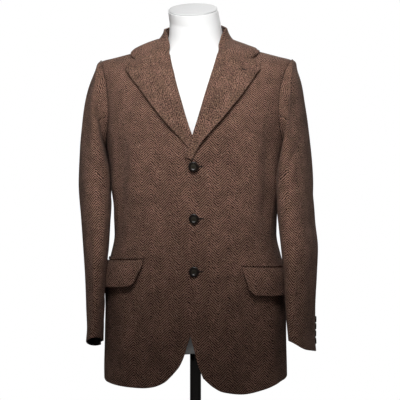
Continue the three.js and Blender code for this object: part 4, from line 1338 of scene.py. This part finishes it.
def makeForm():
    depthAt = curveThrough(form["depth"])
    share = np.arange(form["sides"]) / form["sides"]
    rings = []
    for v in np.concatenate([np.linspace(78, 86, 6), np.linspace(92, 640, 70), np.linspace(646, 836, 44)]):
        sides, middles = depthAt(v)
        depth = mix(middles, sides, np.sin(share * 2 * math.pi) ** 2)
        rings.append(where(share * 4, v, -depth, 1, False))
    top = neckRing(0, 1)
    rings += [mix(rings[-1], top, t) for t in steps(14)[1:]]
    places, faces = closedSkin([rings[0] * [0.9, 0.9, 1], *rings])
    piece = makeMesh("form_body", places, faces, places[:, :2], [jersey])
    claim(piece, "form", "form_torso")
    rings = [neckRing(up, share) for up, share in form["capFoot"]]
    rings += [neckRing(form["neck"]["cap"] + up, share) for up, share in form["capTop"]]
    places, faces = closedSkin(rings)
    piece = makeMesh("form_cap", places, faces, places[:, :2], [capGrey])
    claim(piece, "cap", "form_neck_cap")


makeForm()
print("form made")

stand = {
    "radius": 165, "crown": 15, "hub": 26, "hubTop": 40, "pole": 12.5, "sides": {"foot": 128, "tube": 64},
    # (out, up) from the base's edge, from the hub's foot at the crown, and from the hub's top
    "rim": [(-4, 0), (-1.2, 0.8), (0, 3), (0, 6), (-1, 8.4), (-3.5, 9.9)],
    "foot": [(10, 0.6), (4, 2.4), (1, 5), (0, 9)],
    "hubEnd": [(0, -4), (-1, -1.2), (-4, 0)],
}


def makeTurned(name, profile, node):
    profile = [(a * metre, b * metre) for a, b in profile]
    shape = lathe(profile, (0, 0, 0), (0, 0, 1), stand["sides"][name])
    claim(makeMesh(f"stand_{name}", *shape, [steel]), "chrome", node)


def makeStand():
    r, hub, top, crown = (stand[key] for key in ("radius", "hub", "hubTop", "crown"))
    profile = [(r * 0.1, 0)] + [(r + out, up) for out, up in stand["rim"]]
    profile += [(mix(r - 12, hub + 18, t), mix(10.4, crown - 0.3, t)) for t in steps(12)]
    profile += [(hub + out, crown + up) for out, up in stand["foot"]]
    profile += [(hub + out, top + up) for out, up in stand["hubEnd"]] + [(2, top)]
    makeTurned("foot", profile, "stand_base")
    low, high, radius = top + seamGap, block["hemZ"] + 78 - seamGap, stand["pole"]
    straight = [(radius, mix(low + 1, high - 1, t)) for t in steps(8)]
    makeTurned("tube", [(radius - 1, low), *straight, (radius - 1, high)], "stand_pole")


makeStand()
print("stand made")

studio = {
    "floor": 4.0, "near": 0.3, "far": 0.62,
    "paper": ((0.78, 0.78, 0.77), (0.82, 0.82, 0.81)), "unseen": (0.3, 0.3, 0.3),
    "sky": 1.0, "ground": 0.08, "horizon": (-0.35, 0.75), "strength": 0.17,
}


# A flat panel that is only there for the light
def makePanel(name, corners, material):
    data = bpy.data.meshes.new(name)
    data.from_pydata(corners, [], [(0, 1, 2, 3)])
    item = bpy.data.objects.new(name, data)
    bpy.context.scene.collection.objects.link(item)
    data.materials.append(material)
    item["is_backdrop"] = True
    return item


# A pale floor that fades to white away from the stand, and is darker where it only throws light back
def makeFloor():
    half = studio["floor"]
    material, tree, shader = newMaterial("floorPale", Roughness=0.9)
    place = bodyPlace(tree)
    far = between01(tree, lengthOf(tree, place), studio["near"], studio["far"])
    seen = addNode(tree, "LightPath", {})["Is Camera Ray"]
    paper = mixColour(tree, noiseAt(tree, place, 60, 3), *studio["paper"])
    plug(tree, shader.inputs["Base Color"], mixColour(tree, seen, studio["unseen"], paper))
    glow = addNode(tree, "Emission", {})[0]
    white = maths(tree, "MULTIPLY", far, seen)
    both = addNode(tree, "MixShader", {0: white, 1: shader.outputs[0], 2: glow})[0]
    plug(tree, tree.nodes["Material Output"].inputs["Surface"], both)
    makePanel("floor", [(-half, -half, 0), (half, -half, 0), (half, half, 0), (-half, half, 0)], material)


# White behind the object; a soft bright sky and a dimmer ground light it
def makeWorld():
    world = bpy.data.worlds.new("studio")
    bpy.context.scene.world = world
    world.use_nodes = True
    tree = world.node_tree
    light = tree.nodes["Background"]
    split = addNode(tree, "SeparateXYZ", {0: addNode(tree, "TexCoord", {})["Generated"]})
    up = between01(tree, split[2], *studio["horizon"])
    plug(tree, light.inputs["Color"], mixColour(tree, up, (studio["ground"],) * 3, (studio["sky"],) * 3))
    plug(tree, light.inputs["Strength"], studio["strength"])
    white = addNode(tree, "Background", {"Color": (1, 1, 1)})[0]
    seen = addNode(tree, "LightPath", {})["Is Camera Ray"]
    both = addNode(tree, "MixShader", {0: seen, 1: light.outputs[0], 2: white})[0]
    plug(tree, tree.nodes["World Output"].inputs["Surface"], both)


lamps = {
    "front": {"place": (0.05, -1.15, 1.6), "aim": (0, 0, 0.9), "size": 0.6, "power": 19},
    "left": {"place": (-1.6, -0.7, 1.5), "aim": (0, 0, 0.9), "size": 0.9, "power": 2.6},
    "right": {"place": (1.6, -0.7, 1.5), "aim": (0, 0, 0.9), "size": 0.9, "power": 2.6},
    "back": {"place": (0.3, 1.6, 1.8), "aim": (0, 0, 0.8), "size": 1.2, "power": 14},
}
# A dark board keeps the front lamp off the skirts, as in a studio; nothing but shadows shows it
board = {"y": -0.5, "top": 0.88, "foot": 0.3, "half": 0.7}


def makeBoard():
    y, top, foot, half = (board[key] for key in ("y", "top", "foot", "half"))
    corners = [(-half, y, foot), (half, y, foot), (half, y, top), (-half, y, top)]
    item = makePanel("board", corners, jersey)
    item.visible_camera = item.visible_diffuse = item.visible_glossy = False


def makeLamps():
    for name, lamp in lamps.items():
        data = bpy.data.lights.new(name, "AREA")
        data.size = lamp["size"]
        data.energy = lamp["power"]
        item = bpy.data.objects.new(name, data)
        item.visible_camera = False
        item.location = lamp["place"]
        toward = Vector(lamp["aim"]) - Vector(lamp["place"])
        item.rotation_euler = toward.to_track_quat("-Z", "Y").to_euler()
        bpy.context.scene.collection.objects.link(item)


makeFloor()
makeWorld()
makeLamps()
makeBoard()
bpy.context.scene.view_settings.view_transform = "Standard"
bpy.context.scene.view_settings.look = "None"
print("studio lit")

boxes = [[list(map(float, corner)) for corner in box] for box in (cadBox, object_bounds())]
